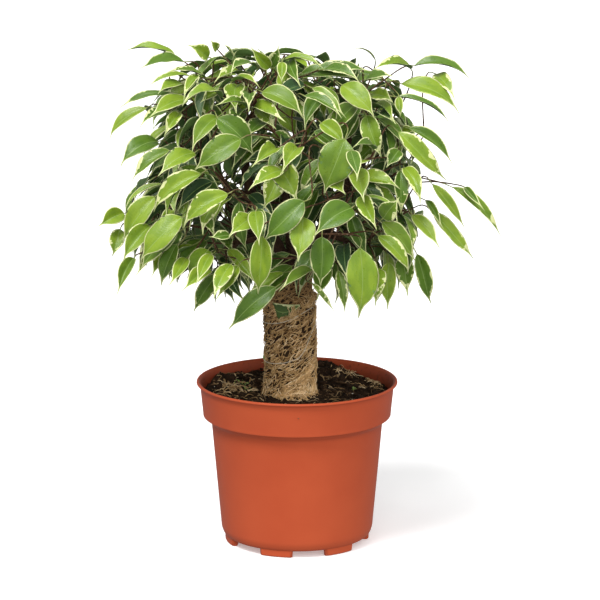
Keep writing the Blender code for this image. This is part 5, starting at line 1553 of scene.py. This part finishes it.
def frayed_ends(material):
    """Loose ends where the wrap meets the soil and ends that stand a little off the wrap."""
    skin = Skin()
    rng = random.Random("frayed")
    rings = 7
    paths = []
    for i in range(170):
        turn = rng.gauss(-1.45, 0.62) if rng.random() < 0.7 else rng.uniform(0, 2 * math.pi)
        height = rng.uniform(124, 134)
        spot = np.array(wrap_spot(turn, height, wrap_radius(turn, height) + 0.6))
        out = np.array([math.cos(turn), math.sin(turn), 0.0])
        round_way = np.array([-math.sin(turn), math.cos(turn), 0.0]) * rng.choice((-1, 1, 1))
        size = rng.uniform(4, 10)
        away = rng.uniform(0.1, 0.45)
        line = []
        for k in range(rings):
            part = k / (rings - 1)
            here = spot + (out * part * away + round_way * part * 0.85) * size
            here[2] = max(here[2] - 0.9 * size * part, fine_height(here[0], here[1]) + rng.uniform(0.3, 1.1))
            line.append(here)
        paths.append(line)
    add_strands(skin, rng, paths, (0.25, 0.5), [rng.uniform(0.25, 1.0) for _ in paths])
    paths = []
    for i in range(190):
        turn = rng.uniform(0, 2 * math.pi)
        height = rng.uniform(128, WRAP_TOP - 3)
        spot = np.array(wrap_spot(turn, height, wrap_radius(turn, height) + 0.6))
        out = np.array([math.cos(turn), math.sin(turn), 0.0])
        round_way = np.array([-math.sin(turn), math.cos(turn), 0.0])
        size = rng.uniform(4, 10)
        climb = rng.uniform(-0.4, 0.9)
        away = rng.uniform(0.1, 0.35)
        line = []
        for k in range(rings):
            part = k / (rings - 1)
            bend = out * away * part * part + round_way * part
            line.append(spot + (bend + np.array([0, 0, climb * part - 0.3 * part * part])) * size)
        paths.append(line)
    add_strands(skin, rng, paths, (0.10, 0.2), [rng.uniform(0.35, 1.0) for _ in paths])
    return skin.piece("coir_frayed_ends", [material])


def fine_thread(material):
    """The binding thread as a smooth round strand."""
    count = 300
    degrees, heights = zip(*THREAD_LINE)
    around = np.linspace(degrees[0], degrees[-1], count + 1)
    level = np.interp(around, degrees, heights)
    padded = np.pad(level, 6, mode="edge")
    level = np.convolve(padded, np.ones(13) / 13, mode="valid")
    turns = np.radians(around)
    radius = WRAP_RADIUS + 0.45 + 0.2 * np.sin(turns * 5)
    path = np.column_stack([STUMP_X + radius * np.cos(turns), radius * np.sin(turns), level])
    skin = Skin()
    points, faces = one_tube(path, 0.25 + 0.03 * np.sin(np.arange(count + 1) * 1.3), 8)
    values = np.zeros((len(points), 4))
    values[:, 0] = np.repeat(np.linspace(0, 1, count + 1), 8)
    skin.add(points, faces, 0, values)
    return skin.piece("binding_twine", [material], ("binding_thread",))


def tucked_blade(materials):
    """The dark leaf pressed against the inner layer, its lower part behind the outer one."""
    faces, slots, spread = BLADE_TEMPLATE
    along = SECTIONS[:, None]
    across = ACROSS[None, :]
    half = 7.3 * np.interp(along, *zip(*WIDTHS)) ** 0.6
    turn = np.radians(-138 + 74 * along) + 0 * across
    thick = np.zeros(RING)
    thick[len(TOP_ACROSS):] = -0.35
    radius = WRAP_INNER_LAYER + 1.25 + 0.45 * np.abs(across) + thick[None, :] + 0.2 * np.sin(along * 9)
    height = TUCKED_LEAF_TOP - half * (1 - across) - 0.8 * along
    points = np.stack([STUMP_X + radius * np.cos(turn), radius * np.sin(turn), height + 0 * radius], axis=2)
    tip = wrap_spot(math.radians(-64), TUCKED_LEAF_TOP - 1.6, WRAP_INNER_LAYER + 1.2)
    points = np.vstack([points.reshape(-1, 3), tip])
    values = np.zeros((len(points), 5))
    values[:-1, 0] = np.repeat(SECTIONS, RING)
    values[:-1, 1] = (half * ACROSS).ravel()
    values[:-1, 4] = (half * (1 - np.abs(ACROSS))).ravel()
    values[-1, 0] = 1.0
    values[:, 2] = 0.05
    values[:, 3] = 0.33
    skin = Skin()
    skin.add(points, faces, slots, values)
    return skin.piece("tucked_blade", materials, ("tucked_leaf",))


def stem_and_limbs(material, limbs):
    """The stump's top and the limbs, round and a little knobbly."""
    skin = Skin()
    profile = [(0, STUMP_TOP + 0.4, 0), (9, STUMP_TOP, 3), (13.5, STUMP_TOP - 4, 3), (STUMP_RADIUS, STUMP_TOP - 12, 4),
               (STUMP_RADIUS, HOLE_FLOOR + TOUCH, 0), (0, HOLE_FLOOR + TOUCH, 0)]
    points, faces = turned_form(spaced(rounded(profile), 5.0), 40)
    rough = np.array([noise.fractal(Vector(p) * 0.16, 1.0, 2.0, 3) for p in points])
    upper = points[:, 2] > WRAP_TOP - 4
    points[:, :2] *= 1 + (0.07 * rough * upper)[:, None]
    points[:, 0] += STUMP_X
    skin.add(points, face_list(faces), 0, (0, 0, 0.5, 1))
    for i, limb in enumerate(limbs):
        spots = [spot for spot, _ in limb]
        marks = np.concatenate([[0], np.cumsum([(b - a).length for a, b in zip(spots, spots[1:])])])
        count = max(8, int(marks[-1] / 2.6))
        path, _ = twig_path(spots, count)
        ways = np.linspace(0, 1, count)
        radii = np.interp(ways, marks / marks[-1], [radius for _, radius in limb])
        knots = np.array([noise.noise(Vector(p) * 0.09 + Vector((i, 0, 0))) for p in path])
        radii = radii * (1 + 0.16 * knots)
        points, faces = one_tube(path, radii, 14)
        rough = np.array([noise.fractal(Vector(p) * 0.3, 1.0, 2.0, 2) for p in points])
        centre = np.repeat(path, 14, axis=0)
        points = centre + (points - centre) * (1 + 0.09 * rough)[:, None]
        skin.add(points, faces, 0, (0, 0, 0.2, 1))
    return skin.piece("stem_and_limbs", [material], ("trunk",))


# Materials

class Look:
    """A material, with short ways to add its nodes."""

    def __init__(self, name):
        self.material = bpy.data.materials.new(name)
        self.material.use_nodes = True
        self.tree = self.material.node_tree
        self.shader = self.tree.nodes["Principled BSDF"]

    def put(self, socket, value):
        if isinstance(value, bpy.types.NodeSocket):
            self.tree.links.new(value, socket)
        elif isinstance(value, tuple) and socket.type == "RGBA":
            socket.default_value = (*value, 1)
        else:
            socket.default_value = value

    def node(self, kind, **inputs):
        node = self.tree.nodes.new(kind)
        for name, value in inputs.items():
            self.put(node.inputs[name], value)
        return node

    def calc(self, operation, a, b=0.0, c=0.0):
        node = self.tree.nodes.new("ShaderNodeMath")
        node.operation = operation
        for socket, value in zip(node.inputs, (a, b, c)):
            self.put(socket, value)
        return node.outputs[0]

    def attribute(self, name):
        node = self.tree.nodes.new("ShaderNodeAttribute")
        node.attribute_name = name
        return node.outputs["Vector"], node.outputs["Fac"]

    def split(self, vector):
        return self.node("ShaderNodeSeparateXYZ", Vector=vector).outputs

    def join(self, x, y, z):
        return self.node("ShaderNodeCombineXYZ", X=x, Y=y, Z=z).outputs[0]

    def spot(self):
        return self.tree.nodes.new("ShaderNodeTexCoord").outputs["Object"]

    def noise(self, vector, scale, detail=2.0, roughness=0.5, distortion=0.0):
        return self.node("ShaderNodeTexNoise", Vector=vector, Scale=scale, Detail=detail, Roughness=roughness,
                         Distortion=distortion).outputs["Fac"]

    def cells(self, vector, scale):
        return self.node("ShaderNodeTexVoronoi", Vector=vector, Scale=scale).outputs["Distance"]

    def fit(self, value, low, high, to_low=0.0, to_high=1.0, smooth=False):
        node = self.tree.nodes.new("ShaderNodeMapRange")
        node.interpolation_type = "SMOOTHSTEP" if smooth else "LINEAR"
        for name, number in (("Value", value), ("From Min", low), ("From Max", high), ("To Min", to_low), ("To Max", to_high)):
            self.put(node.inputs[name], number)
        return node.outputs[0]

    def mix(self, share, a, b, mode="MIX"):
        node = self.tree.nodes.new("ShaderNodeMix")
        node.data_type = "RGBA"
        node.blend_type = mode
        self.put(node.inputs[0], share)
        self.put(node.inputs[6], a)
        self.put(node.inputs[7], b)
        return node.outputs[2]

    def bump(self, height, strength, distance, normal=None):
        node = self.node("ShaderNodeBump", Height=height, Strength=strength, Distance=distance)
        if normal:
            self.put(node.inputs["Normal"], normal)
        return node.outputs[0]

    def finish(self, colour, roughness, normal=None, **plain):
        self.put(self.shader.inputs["Base Color"], colour)
        self.put(self.shader.inputs["Roughness"], roughness)
        if normal:
            self.put(self.shader.inputs["Normal"], normal)
        for name, value in plain.items():
            self.shader.inputs[name.replace("_", " ")].default_value = value
        return self.material


LIME = (0.215, 0.320, 0.018)
MID_GREEN = (0.082, 0.165, 0.010)
DEEP_GREEN = (0.016, 0.048, 0.007)
CREAM = (0.74, 0.76, 0.38)
RIB = (0.30, 0.42, 0.12)
UNDER_GREEN = (0.13, 0.23, 0.06)


def leaf_top():
    """Glossy upper side, of one shade over the leaf, with a cream margin and a pale rib."""
    look = Look("leaf_top")
    along, across, aside, margin, seed, tone = leaf_values(look)
    far = look.join(look.calc("MULTIPLY", along, 2.6), look.calc("MULTIPLY", across, 0.10), look.calc("MULTIPLY", seed, 93.0))
    zones = look.noise(far, 1.5, 2.0, 0.5)
    fine = look.noise(look.spot(), 900.0, 2.0)
    blue = look.fit(look.calc("FRACT", look.calc("MULTIPLY", seed, 7.3)), 0.60, 0.70)
    colour = look.mix(look.fit(tone, 0.28, 0.42), look.mix(blue, DEEP_GREEN, BLUE_GREEN), MID_GREEN)
    colour = look.mix(look.fit(tone, 0.54, 0.72), colour, LIME)
    shade = look.mix(1.0, colour, (0.52, 0.66, 0.6), "MULTIPLY")
    colour = look.mix(look.fit(zones, 0.42, 0.62, 0.0, 0.5, smooth=True), colour, shade)
    cream = cream_share(look, along, across, margin, seed)
    colour = look.mix(look.calc("MULTIPLY", cream, 0.95), colour, CREAM)
    rib = look.fit(aside, 0.18, 0.40, 1.0, 0.0, smooth=True)
    colour = look.mix(look.calc("MULTIPLY", rib, 0.6), colour, RIB)
    slant = look.calc("SUBTRACT", look.calc("MULTIPLY", along, 150.0), look.calc("MULTIPLY", aside, 5.2))
    veins = look.calc("POWER", look.fit(look.calc("SINE", slant), -1.0, 1.0), 3.0)
    colour = look.mix(look.calc("MULTIPLY", veins, 0.15), colour, RIB)
    colour = look.mix(look.fit(fine, 0.3, 0.7, 0.0, 0.10), colour, (0.02, 0.05, 0.01))
    height = look.calc("ADD", look.calc("MULTIPLY", veins, -0.5), look.calc("MULTIPLY", rib, -1.0))
    normal = look.bump(height, 0.45, 0.0004)
    normal = look.bump(look.noise(look.spot(), 260.0, 3.0), 0.14, 0.0006, normal)
    rough = look.fit(look.noise(look.spot(), 320.0, 2.0), 0.3, 0.7, 0.26, 0.40)
    return look.finish(colour, rough, normal, Specular_IOR_Level=0.5)


def leaf_under():
    """Paler, duller underside with a raised rib and veins."""
    look = Look("leaf_under")
    along, across, aside, margin, seed, tone = leaf_values(look)
    colour = look.mix(look.fit(tone, 0.25, 0.7), (0.05, 0.11, 0.035), UNDER_GREEN)
    cream = cream_share(look, along, across, margin, seed)
    colour = look.mix(look.calc("MULTIPLY", cream, 0.85), colour, (0.50, 0.54, 0.30))
    rib = look.fit(aside, 0.25, 0.55, 1.0, 0.0, smooth=True)
    colour = look.mix(look.calc("MULTIPLY", rib, 0.6), colour, (0.28, 0.38, 0.13))
    slant = look.calc("SUBTRACT", look.calc("MULTIPLY", along, 150.0), look.calc("MULTIPLY", aside, 5.2))
    veins = look.calc("POWER", look.fit(look.calc("SINE", slant), -1.0, 1.0), 3.0)
    colour = look.mix(look.calc("MULTIPLY", veins, 0.12), colour, (0.28, 0.38, 0.13))
    normal = look.bump(look.calc("ADD", look.calc("MULTIPLY", veins, 0.5), rib), 0.35, 0.0004)
    rough = look.fit(look.noise(look.spot(), 300.0, 2.0), 0.3, 0.7, 0.45, 0.6)
    return look.finish(colour, rough, normal, Specular_IOR_Level=0.25)


def twig_look():
    """Twigs from brown where thick to green at the leaf stalks."""
    look = Look("twig")
    _, age = look.attribute("tone")
    spots = look.noise(look.spot(), 700.0, 3.0)
    grain = look.noise(look.spot(), 240.0, 2.0)
    wood = look.mix(look.fit(grain, 0.3, 0.7), (0.040, 0.018, 0.009), (0.115, 0.055, 0.028))
    young = look.mix(look.fit(grain, 0.3, 0.7), (0.16, 0.20, 0.05), (0.30, 0.33, 0.12))
    colour = look.mix(look.fit(age, 0.02, 0.35, smooth=True), young, wood)
    colour = look.mix(look.fit(spots, 0.55, 0.7, 0.0, 0.5), colour, (0.30, 0.22, 0.14))
    return look.finish(colour, look.fit(grain, 0.3, 0.7, 0.5, 0.7), look.bump(spots, 0.4, 0.0005), Specular_IOR_Level=0.2)


def bark_look():
    """Dark brown bark with pale pores and fine cracks."""
    look = Look("bark")
    spot = look.spot()
    grain = look.noise(spot, 120.0, 4.0, 0.6)
    pores = look.fit(look.cells(spot, 420.0), 0.0, 0.28, 1.0, 0.0)
    cracks = look.noise(spot, 60.0, 5.0, 0.7, 1.5)
    colour = look.mix(look.fit(grain, 0.3, 0.7), (0.022, 0.012, 0.007), (0.075, 0.040, 0.022))
    colour = look.mix(look.calc("MULTIPLY", pores, 0.35), colour, (0.24, 0.16, 0.10))
    normal = look.bump(cracks, 0.6, 0.002, look.bump(pores, 0.3, 0.0006))
    return look.finish(colour, look.fit(grain, 0.3, 0.7, 0.65, 0.85), normal, Specular_IOR_Level=0.15)


def pot_look(name, inner_shade_and_smears):
    """Moulded terracotta-coloured plastic: satin, faintly mottled, with fine pitting and a few dusty specks. For the
    inside wall, painted shade that darkens it towards the soil, and dark smears of soil dirt.
    """
    look = Look(name)
    spot = look.spot()
    z = look.split(spot)[2]
    cloud = look.noise(spot, 14.0, 3.0, 0.6)
    grain = look.noise(spot, 1500.0, 2.0, 0.6)
    dust = look.noise(spot, 420.0, 4.0, 0.7)
    colour = look.mix(look.fit(cloud, 0.3, 0.7), (0.445, 0.072, 0.026), (0.495, 0.086, 0.031))
    colour = look.mix(look.fit(dust, 0.70, 0.80, 0.0, 0.25), colour, (0.55, 0.20, 0.12))
    if inner_shade_and_smears:
        # painted shade: the inside wall is darkened more the nearer it is to the soil, for the shade within the pot
        colour = look.mix(look.fit(z, 0.124, 0.139, 0.85, 0.35), colour, (0.085, 0.020, 0.008))
        smear = look.noise(spot, 260.0, 5.0, 0.75)
        colour = look.mix(look.fit(smear, 0.56, 0.66, 0.0, 0.7), colour, (0.035, 0.016, 0.008))
    rough = look.fit(look.calc("ADD", cloud, look.calc("MULTIPLY", dust, 0.4)), 0.4, 0.95, 0.42, 0.56)
    normal = look.bump(grain, 0.10, 0.0005, look.bump(cloud, 0.10, 0.002))
    return look.finish(colour, rough, normal, Specular_IOR_Level=0.2)


def soil_look():
    """Dark moist peat with lighter crumbs."""
    look = Look("peat")
    spot = look.spot()
    _, tone = look.attribute("tone")
    grain = look.noise(spot, 380.0, 5.0, 0.7)
    clods = look.noise(spot, 90.0, 4.0, 0.6)
    colour = look.mix(look.fit(clods, 0.35, 0.65), (0.008, 0.005, 0.003), (0.036, 0.020, 0.011))
    colour = look.mix(look.fit(grain, 0.54, 0.74, 0.0, 0.6), colour, (0.085, 0.048, 0.028))
    colour = look.mix(look.fit(tone, 0.0, 0.35, 0.0, 0.5), colour, (0.060, 0.032, 0.018))
    colour = look.mix(look.fit(tone, 0.45, 0.9, 0.0, 0.95), colour, (0.25, 0.15, 0.075))
    colour = look.mix(look.fit(tone, 0.92, 0.94), colour, (0.66, 0.60, 0.50))
    normal = look.bump(grain, 0.9, 0.003, look.bump(clods, 0.5, 0.004))
    return look.finish(colour, look.fit(grain, 0.3, 0.7, 0.75, 1.0), normal, Specular_IOR_Level=0.12)


def fibre_look(name, dark, light, pale):
    """Dry fibre, each strand of its own shade, with fine streaks along it."""
    look = Look(name)
    place, _ = look.attribute("place")
    along, _, seed = look.split(place)
    _, tone = look.attribute("tone")
    streak = look.noise(look.spot(), 900.0, 3.0, 0.6)
    cloud = look.noise(look.spot(), 70.0, 3.0)
    colour = look.mix(look.fit(tone, 0.0, 0.7), dark, light)
    colour = look.mix(look.fit(tone, 0.65, 1.0), colour, pale)
    colour = look.mix(look.fit(streak, 0.4, 0.7, 0.0, 0.3), colour, dark)
    colour = look.mix(look.fit(cloud, 0.45, 0.7, 0.0, 0.15), colour, dark)
    colour = look.mix(look.fit(seed, 0.0, 1.0, 0.0, 0.25), colour, light)
    return look.finish(colour, look.fit(streak, 0.3, 0.7, 0.75, 0.95), look.bump(streak, 0.6, 0.0005), Specular_IOR_Level=0.2)


def thread_look():
    """Pale twisted thread."""
    look = Look("thread")
    place, _ = look.attribute("place")
    along, _, _ = look.split(place)
    twist = look.fit(look.calc("SINE", look.calc("MULTIPLY", along, 900.0)), -1.0, 1.0)
    fuzz = look.noise(look.spot(), 1200.0, 2.0)
    colour = look.mix(look.calc("MULTIPLY", twist, 0.4), (0.72, 0.66, 0.52), (0.50, 0.42, 0.29))
    return look.finish(colour, look.fit(fuzz, 0.3, 0.7, 0.7, 0.9), look.bump(twist, 0.6, 0.0004))


def floor_look():
    """A plain pale studio surface that glows a little, as white paper under a soft box does."""
    look = Look("studio_floor")
    grain = look.noise(look.spot(), 30.0, 2.0)
    colour = look.mix(look.fit(grain, 0.3, 0.7, 0.0, 0.3), (0.89, 0.89, 0.89), (0.87, 0.87, 0.87))
    look.shader.inputs["Emission Color"].default_value = (1, 1, 1, 1)
    return look.finish(colour, look.fit(grain, 0.3, 0.7, 0.75, 0.85), Emission_Strength=0.30)


def studio():
    """Floor, soft light and the camera."""
    mesh = bpy.data.meshes.new("floor")
    size = 14.0
    mesh.from_pydata([(-size, -size, 0), (size, -size, 0), (size, size, 0), (-size, size, 0)], [], [(0, 1, 2, 3)])
    mesh.materials.append(floor_look())
    floor = bpy.data.objects.new("floor", mesh)
    floor.location.z = -0.0002
    floor.visible_diffuse = False
    floor.visible_glossy = False
    bpy.context.scene.collection.objects.link(floor)

    world = bpy.data.worlds.new("studio")
    world.use_nodes = True
    world.node_tree.nodes["Background"].inputs["Color"].default_value = (1.0, 1.0, 1.0, 1)
    world.node_tree.nodes["Background"].inputs["Strength"].default_value = 0.40
    bpy.context.scene.world = world

    lights = (("key", (0.34, 0.46, -1.0), 3.2, 28), ("front", (-0.10, 1.0, -0.45), 1.7, 45), ("side", (-0.9, 0.35, -0.6), 0.7, 60))
    for name, heading, strength, angle in lights:
        light = bpy.data.lights.new(name, "SUN")
        light.energy = strength
        light.angle = math.radians(angle)
        lamp = bpy.data.objects.new(name, light)
        lamp.visible_glossy = name == "key"
        lamp.rotation_euler = Vector(heading).to_track_quat("-Z", "Y").to_euler()
        bpy.context.scene.collection.objects.link(lamp)

    lens = bpy.data.cameras.new("camera")
    lens.sensor_width = 36
    lens.lens = 36 * VIEW_DISTANCE / (600 * VIEW_STEP)
    lens.clip_end = 100
    camera = bpy.data.objects.new("camera", lens)
    eye, _ = eye_ray(*VIEW_MIDDLE)
    camera.location = eye * MM + SHIFT
    camera.rotation_euler = (math.pi / 2 - VIEW_TILT, 0, 0)
    bpy.context.scene.collection.objects.link(camera)
    bpy.context.scene.camera = camera
    bpy.context.scene.view_settings.view_transform = "Standard"


def wrap_spot(turn, height, radius):
    return STUMP_X + radius * math.cos(turn), radius * math.sin(turn), height


def strand(rng, turn, height, slope, size, rings, lift, kink, low, high):
    """Points of one strand on the wrap. It starts at a turn and height and climbs at a slope."""
    way = math.radians(slope)
    curl = rng.gauss(0, 0.06)
    line = []
    for k in range(rings):
        part = k / (rings - 1)
        radius = wrap_radius(turn, height) + lift * (0.7 + 0.5 * math.sin(part * math.pi))
        line.append(wrap_spot(turn, height, radius))
        way += curl + rng.gauss(0, kink)
        turn += math.cos(way) * size / rings / radius
        height += math.sin(way) * size / rings
        height = min(max(height, low), high)
    return line


def coir_outer(material):
    """The strands that make up the outer layer, rising to the right, with a light band and a swirl. They are lighter
    low down and darker higher up, painted shade of the crown above.
    """
    skin = Skin()
    rng = random.Random("outer strands")
    paths = []
    tones = []
    for i in range(2600):
        turn = rng.uniform(0, 2 * math.pi)
        top = wrap_step(turn) - 0.4
        height = rng.uniform(122, top)
        slope = rng.gauss(36, 12) if rng.random() < 0.88 else rng.gauss(-25, 30)
        paths.append(strand(rng, turn, height, slope, rng.uniform(5, 12), 7, rng.uniform(0.0, 1.6), 0.15, 121, top + 1.2))
        # painted shade: strands get darker tones the higher they sit, for the shade under the crown
        light = np.interp(height, (124, 150, 200), (0.72, 0.52, 0.42))
        patch = 0.28 * noise.noise(Vector(paths[-1][0]) * 0.09)
        tones.append(light + patch + rng.gauss(0, 0.30))
    add_strands(skin, rng, paths, (0.26, 0.52), tones)
    paths = []
    for i in range(100):
        part = rng.random()
        turn = math.radians(-136 + 98 * part + rng.gauss(0, 4))
        height = 121 + 31 * part + rng.gauss(0, 2.4)
        paths.append(strand(rng, turn, height, rng.gauss(27, 9), rng.uniform(10, 20), 7, rng.uniform(1.0, 1.9), 0.16, 121, 200))
    add_strands(skin, rng, paths, (0.32, 0.6), [rng.uniform(0.25, 1.0) for _ in paths])
    paths = []
    for i in range(60):
        size = rng.uniform(3.4, 8.8)
        start = rng.uniform(0, 2 * math.pi)
        lift = rng.uniform(0.9, 2.0)
        line = []
        for k in range(7):
            angle = start + 1.5 * k / 6
            turn = math.radians(-45) + size * math.cos(angle) / WRAP_RADIUS
            height = max(124.5, 135.5 + size * 1.15 * math.sin(angle))
            line.append(wrap_spot(turn, height, wrap_radius(turn, height) + lift))
        paths.append(line)
    add_strands(skin, rng, paths, (0.32, 0.56), [rng.uniform(0.25, 1.0) for _ in paths])
    paths = []
    for i in range(34):
        turn = math.radians(rng.gauss(-69, 7))
        paths.append(strand(rng, turn, rng.gauss(130, 1.8), rng.gauss(20, 25), rng.uniform(4, 9), 7, rng.uniform(1.2, 2.0), 0.2, 122, 140))
    add_strands(skin, rng, paths, (0.3, 0.5), [rng.uniform(0.85, 1.0) for _ in paths])
    return skin.piece("coir_outer_strands", [material])


def coir_inner(material):
    """The inner layer's strands, darkened as painted shade of the crown over them, the ragged edge above the step, and
    strands over the tucked leaf.
    """
    skin = Skin()
    rng = random.Random("inner strands")
    paths = []
    for i in range(850):
        turn = rng.uniform(0, 2 * math.pi)
        low = wrap_step(turn)
        height = rng.uniform(low, WRAP_TOP - 1)
        paths.append(strand(rng, turn, height, rng.gauss(32, 30), rng.uniform(7, 16), 7, rng.uniform(0.1, 1.0), 0.25, low, WRAP_TOP))
    # painted shade: the inner layer's strands get the darkest tones, for the shade the crown casts on them
    add_strands(skin, rng, paths, (0.22, 0.42), [rng.uniform(0.0, 0.5) for _ in paths])
    paths = []
    for i in range(420):
        turn = rng.uniform(0, 2 * math.pi)
        edge = wrap_step(turn)
        paths.append(strand(rng, turn, edge - rng.uniform(0.4, 3.0), rng.gauss(25, 40), rng.uniform(4, 10), 7,
                            rng.uniform(0.6, 1.7), 0.3, edge - 4, edge + 1.6))
    add_strands(skin, rng, paths, (0.24, 0.45), [rng.uniform(0.25, 0.95) for _ in paths])
    paths = []
    for i in range(13):
        turn = math.radians(rng.gauss(-87, 3.5))
        line = []
        low = rng.uniform(192, 196)
        top = rng.uniform(201, 207)
        lean = rng.gauss(0.1, 0.12)
        for k in range(7):
            part = k / 6
            line.append(wrap_spot(turn + lean * part + 0.03 * math.sin(k * 2.1), low + (top - low) * part, 21.6 - 0.6 * part))
        paths.append(line)
    add_strands(skin, rng, paths, (0.26, 0.42), [rng.uniform(0.4, 0.9) for _ in paths])
    return skin.piece("coir_inner_strands", [material])


def sprouts(material):
    """Small green seedlings on the soil and one at the wrap."""
    skin = Skin()
    rng = random.Random("sprouts")
    paths = []
    for x, y, spread_x, spread_y, count in ((-50, 27, 3, 3, 5), (-45, 15, 3, 4, 6), (-40, 6, 3, 3, 6), (47, 8, 2, 2, 5)):
        for i in range(count):
            px, py = x + rng.gauss(0, spread_x), y + rng.gauss(0, spread_y)
            way = rng.uniform(0, 2 * math.pi)
            size = rng.uniform(3.0, 6.5)
            base = fine_height(px, py)
            paths.append([(px + math.cos(way) * size * t * 0.9, py + math.sin(way) * size * t * 0.9,
                           base + size * (1.1 * t - 0.7 * t * t)) for t in np.linspace(0, 1, 7)])
    turn = math.radians(-168)
    for i in range(5):
        lean = rng.uniform(-0.12, 0.22)
        size = rng.uniform(3, 5)
        paths.append([wrap_spot(turn + lean * t, 155 + size * t, 22.0 + 1.2 * t) for t in np.linspace(0, 1, 7)])
    widths = np.array([0.4, 0.7, 0.95, 1.0, 0.85, 0.55, 0.15]) * 0.75
    radii = np.array([rng.uniform(0.7, 1.1) for _ in paths])[:, None] * widths
    points, faces = many_tubes(np.array(paths), radii, (0, 0, 1), 5, 0.3)
    values = np.zeros((len(points), 4))
    values[:, 2] = np.repeat([rng.random() for _ in paths], 7 * 5)
    skin.add(points, faces, 0, values)
    return skin.piece("soil_sprouts", [material])


BLUE_GREEN = (0.024, 0.066, 0.024)


def leaf_values(look):
    """What a leaf's materials read: place along it, distances from its rib and its margin, seed and tone."""
    place, _ = look.attribute("place")
    _, tone = look.attribute("tone")
    _, margin = look.attribute("edge")
    along, across, seed = look.split(place)
    return along, across, look.calc("ABSOLUTE", across), margin, seed, tone


def cream_share(look, along, across, margin, seed):
    """Where the leaf is cream: a thin rim, the tip, and some notches of the outer half."""
    home = look.join(look.calc("MULTIPLY", along, 6.0), look.calc("MULTIPLY", across, 0.11), look.calc("MULTIPLY", seed, 60.0))
    patches = look.fit(look.noise(home, 1.0, 2.5, 0.6), 0.50, 0.68)
    share = look.fit(look.calc("FRACT", look.calc("MULTIPLY", seed, 11.7)), 0.35, 0.8, 0.12, 1.25)
    reach = look.calc("MULTIPLY", look.calc("MULTIPLY", patches, share), look.fit(along, 0.15, 0.6, 1.2, 4.6))
    rim = look.fit(look.calc("SUBTRACT", margin, reach), 0.72, 1.02, 1.0, 0.0, smooth=True)
    return look.calc("MULTIPLY", rim, look.fit(along, 0.02, 0.14, 0.15, 1.0))


def sprout_look():
    """Fresh green of the seedlings."""
    look = Look("sprout")
    place, _ = look.attribute("place")
    seed = look.split(place)[2]
    grain = look.noise(look.spot(), 500.0, 2.0)
    colour = look.mix(look.fit(grain, 0.3, 0.7), (0.16, 0.27, 0.04), (0.30, 0.42, 0.10))
    colour = look.mix(look.fit(seed, 0.0, 1.0, 0.0, 0.4), colour, (0.42, 0.50, 0.22))
    return look.finish(colour, look.fit(grain, 0.3, 0.7, 0.45, 0.6), look.bump(grain, 0.3, 0.0003))


def main():
    studio()
    room, limbs, branches, _ = grow_crown(0.85, 112, 12.0, 5, 3)
    grow_more(room, branches, 260, 7.0, 6)
    fine_pot([pot_look("pot_plastic", False), pot_look("pot_plastic_inside", True)])
    peat = soil_look()
    soil_bed(peat)
    soil_crumbs(peat)
    soil_fibres(fibre_look("straw", (0.06, 0.033, 0.017), (0.42, 0.27, 0.12), (0.80, 0.62, 0.38)))
    # painted shade: the coir body under the strands is coloured near black-brown, for the shade in the gaps between
    # them
    coir_layers(fibre_look("coir_body_painted_gap_shade", (0.030, 0.016, 0.007), (0.06, 0.034, 0.015), (0.10, 0.06, 0.03)))
    coir = fibre_look("coir", (0.11, 0.052, 0.018), (0.70, 0.44, 0.19), (0.92, 0.70, 0.42))
    coir_outer(coir)
    coir_inner(coir)
    frayed_ends(coir)
    sprouts(sprout_look())
    fine_thread(thread_look())
    stem_and_limbs(bark_look(), limbs)
    leaves = [leaf_top(), leaf_under(), twig_look()]
    tucked_blade(leaves[:2])
    for branch in branches:
        foliage(branch, leaves)
    print("LEAVES", sum(len(b.leaves) + len(b.side_leaves) for b in branches))


main()
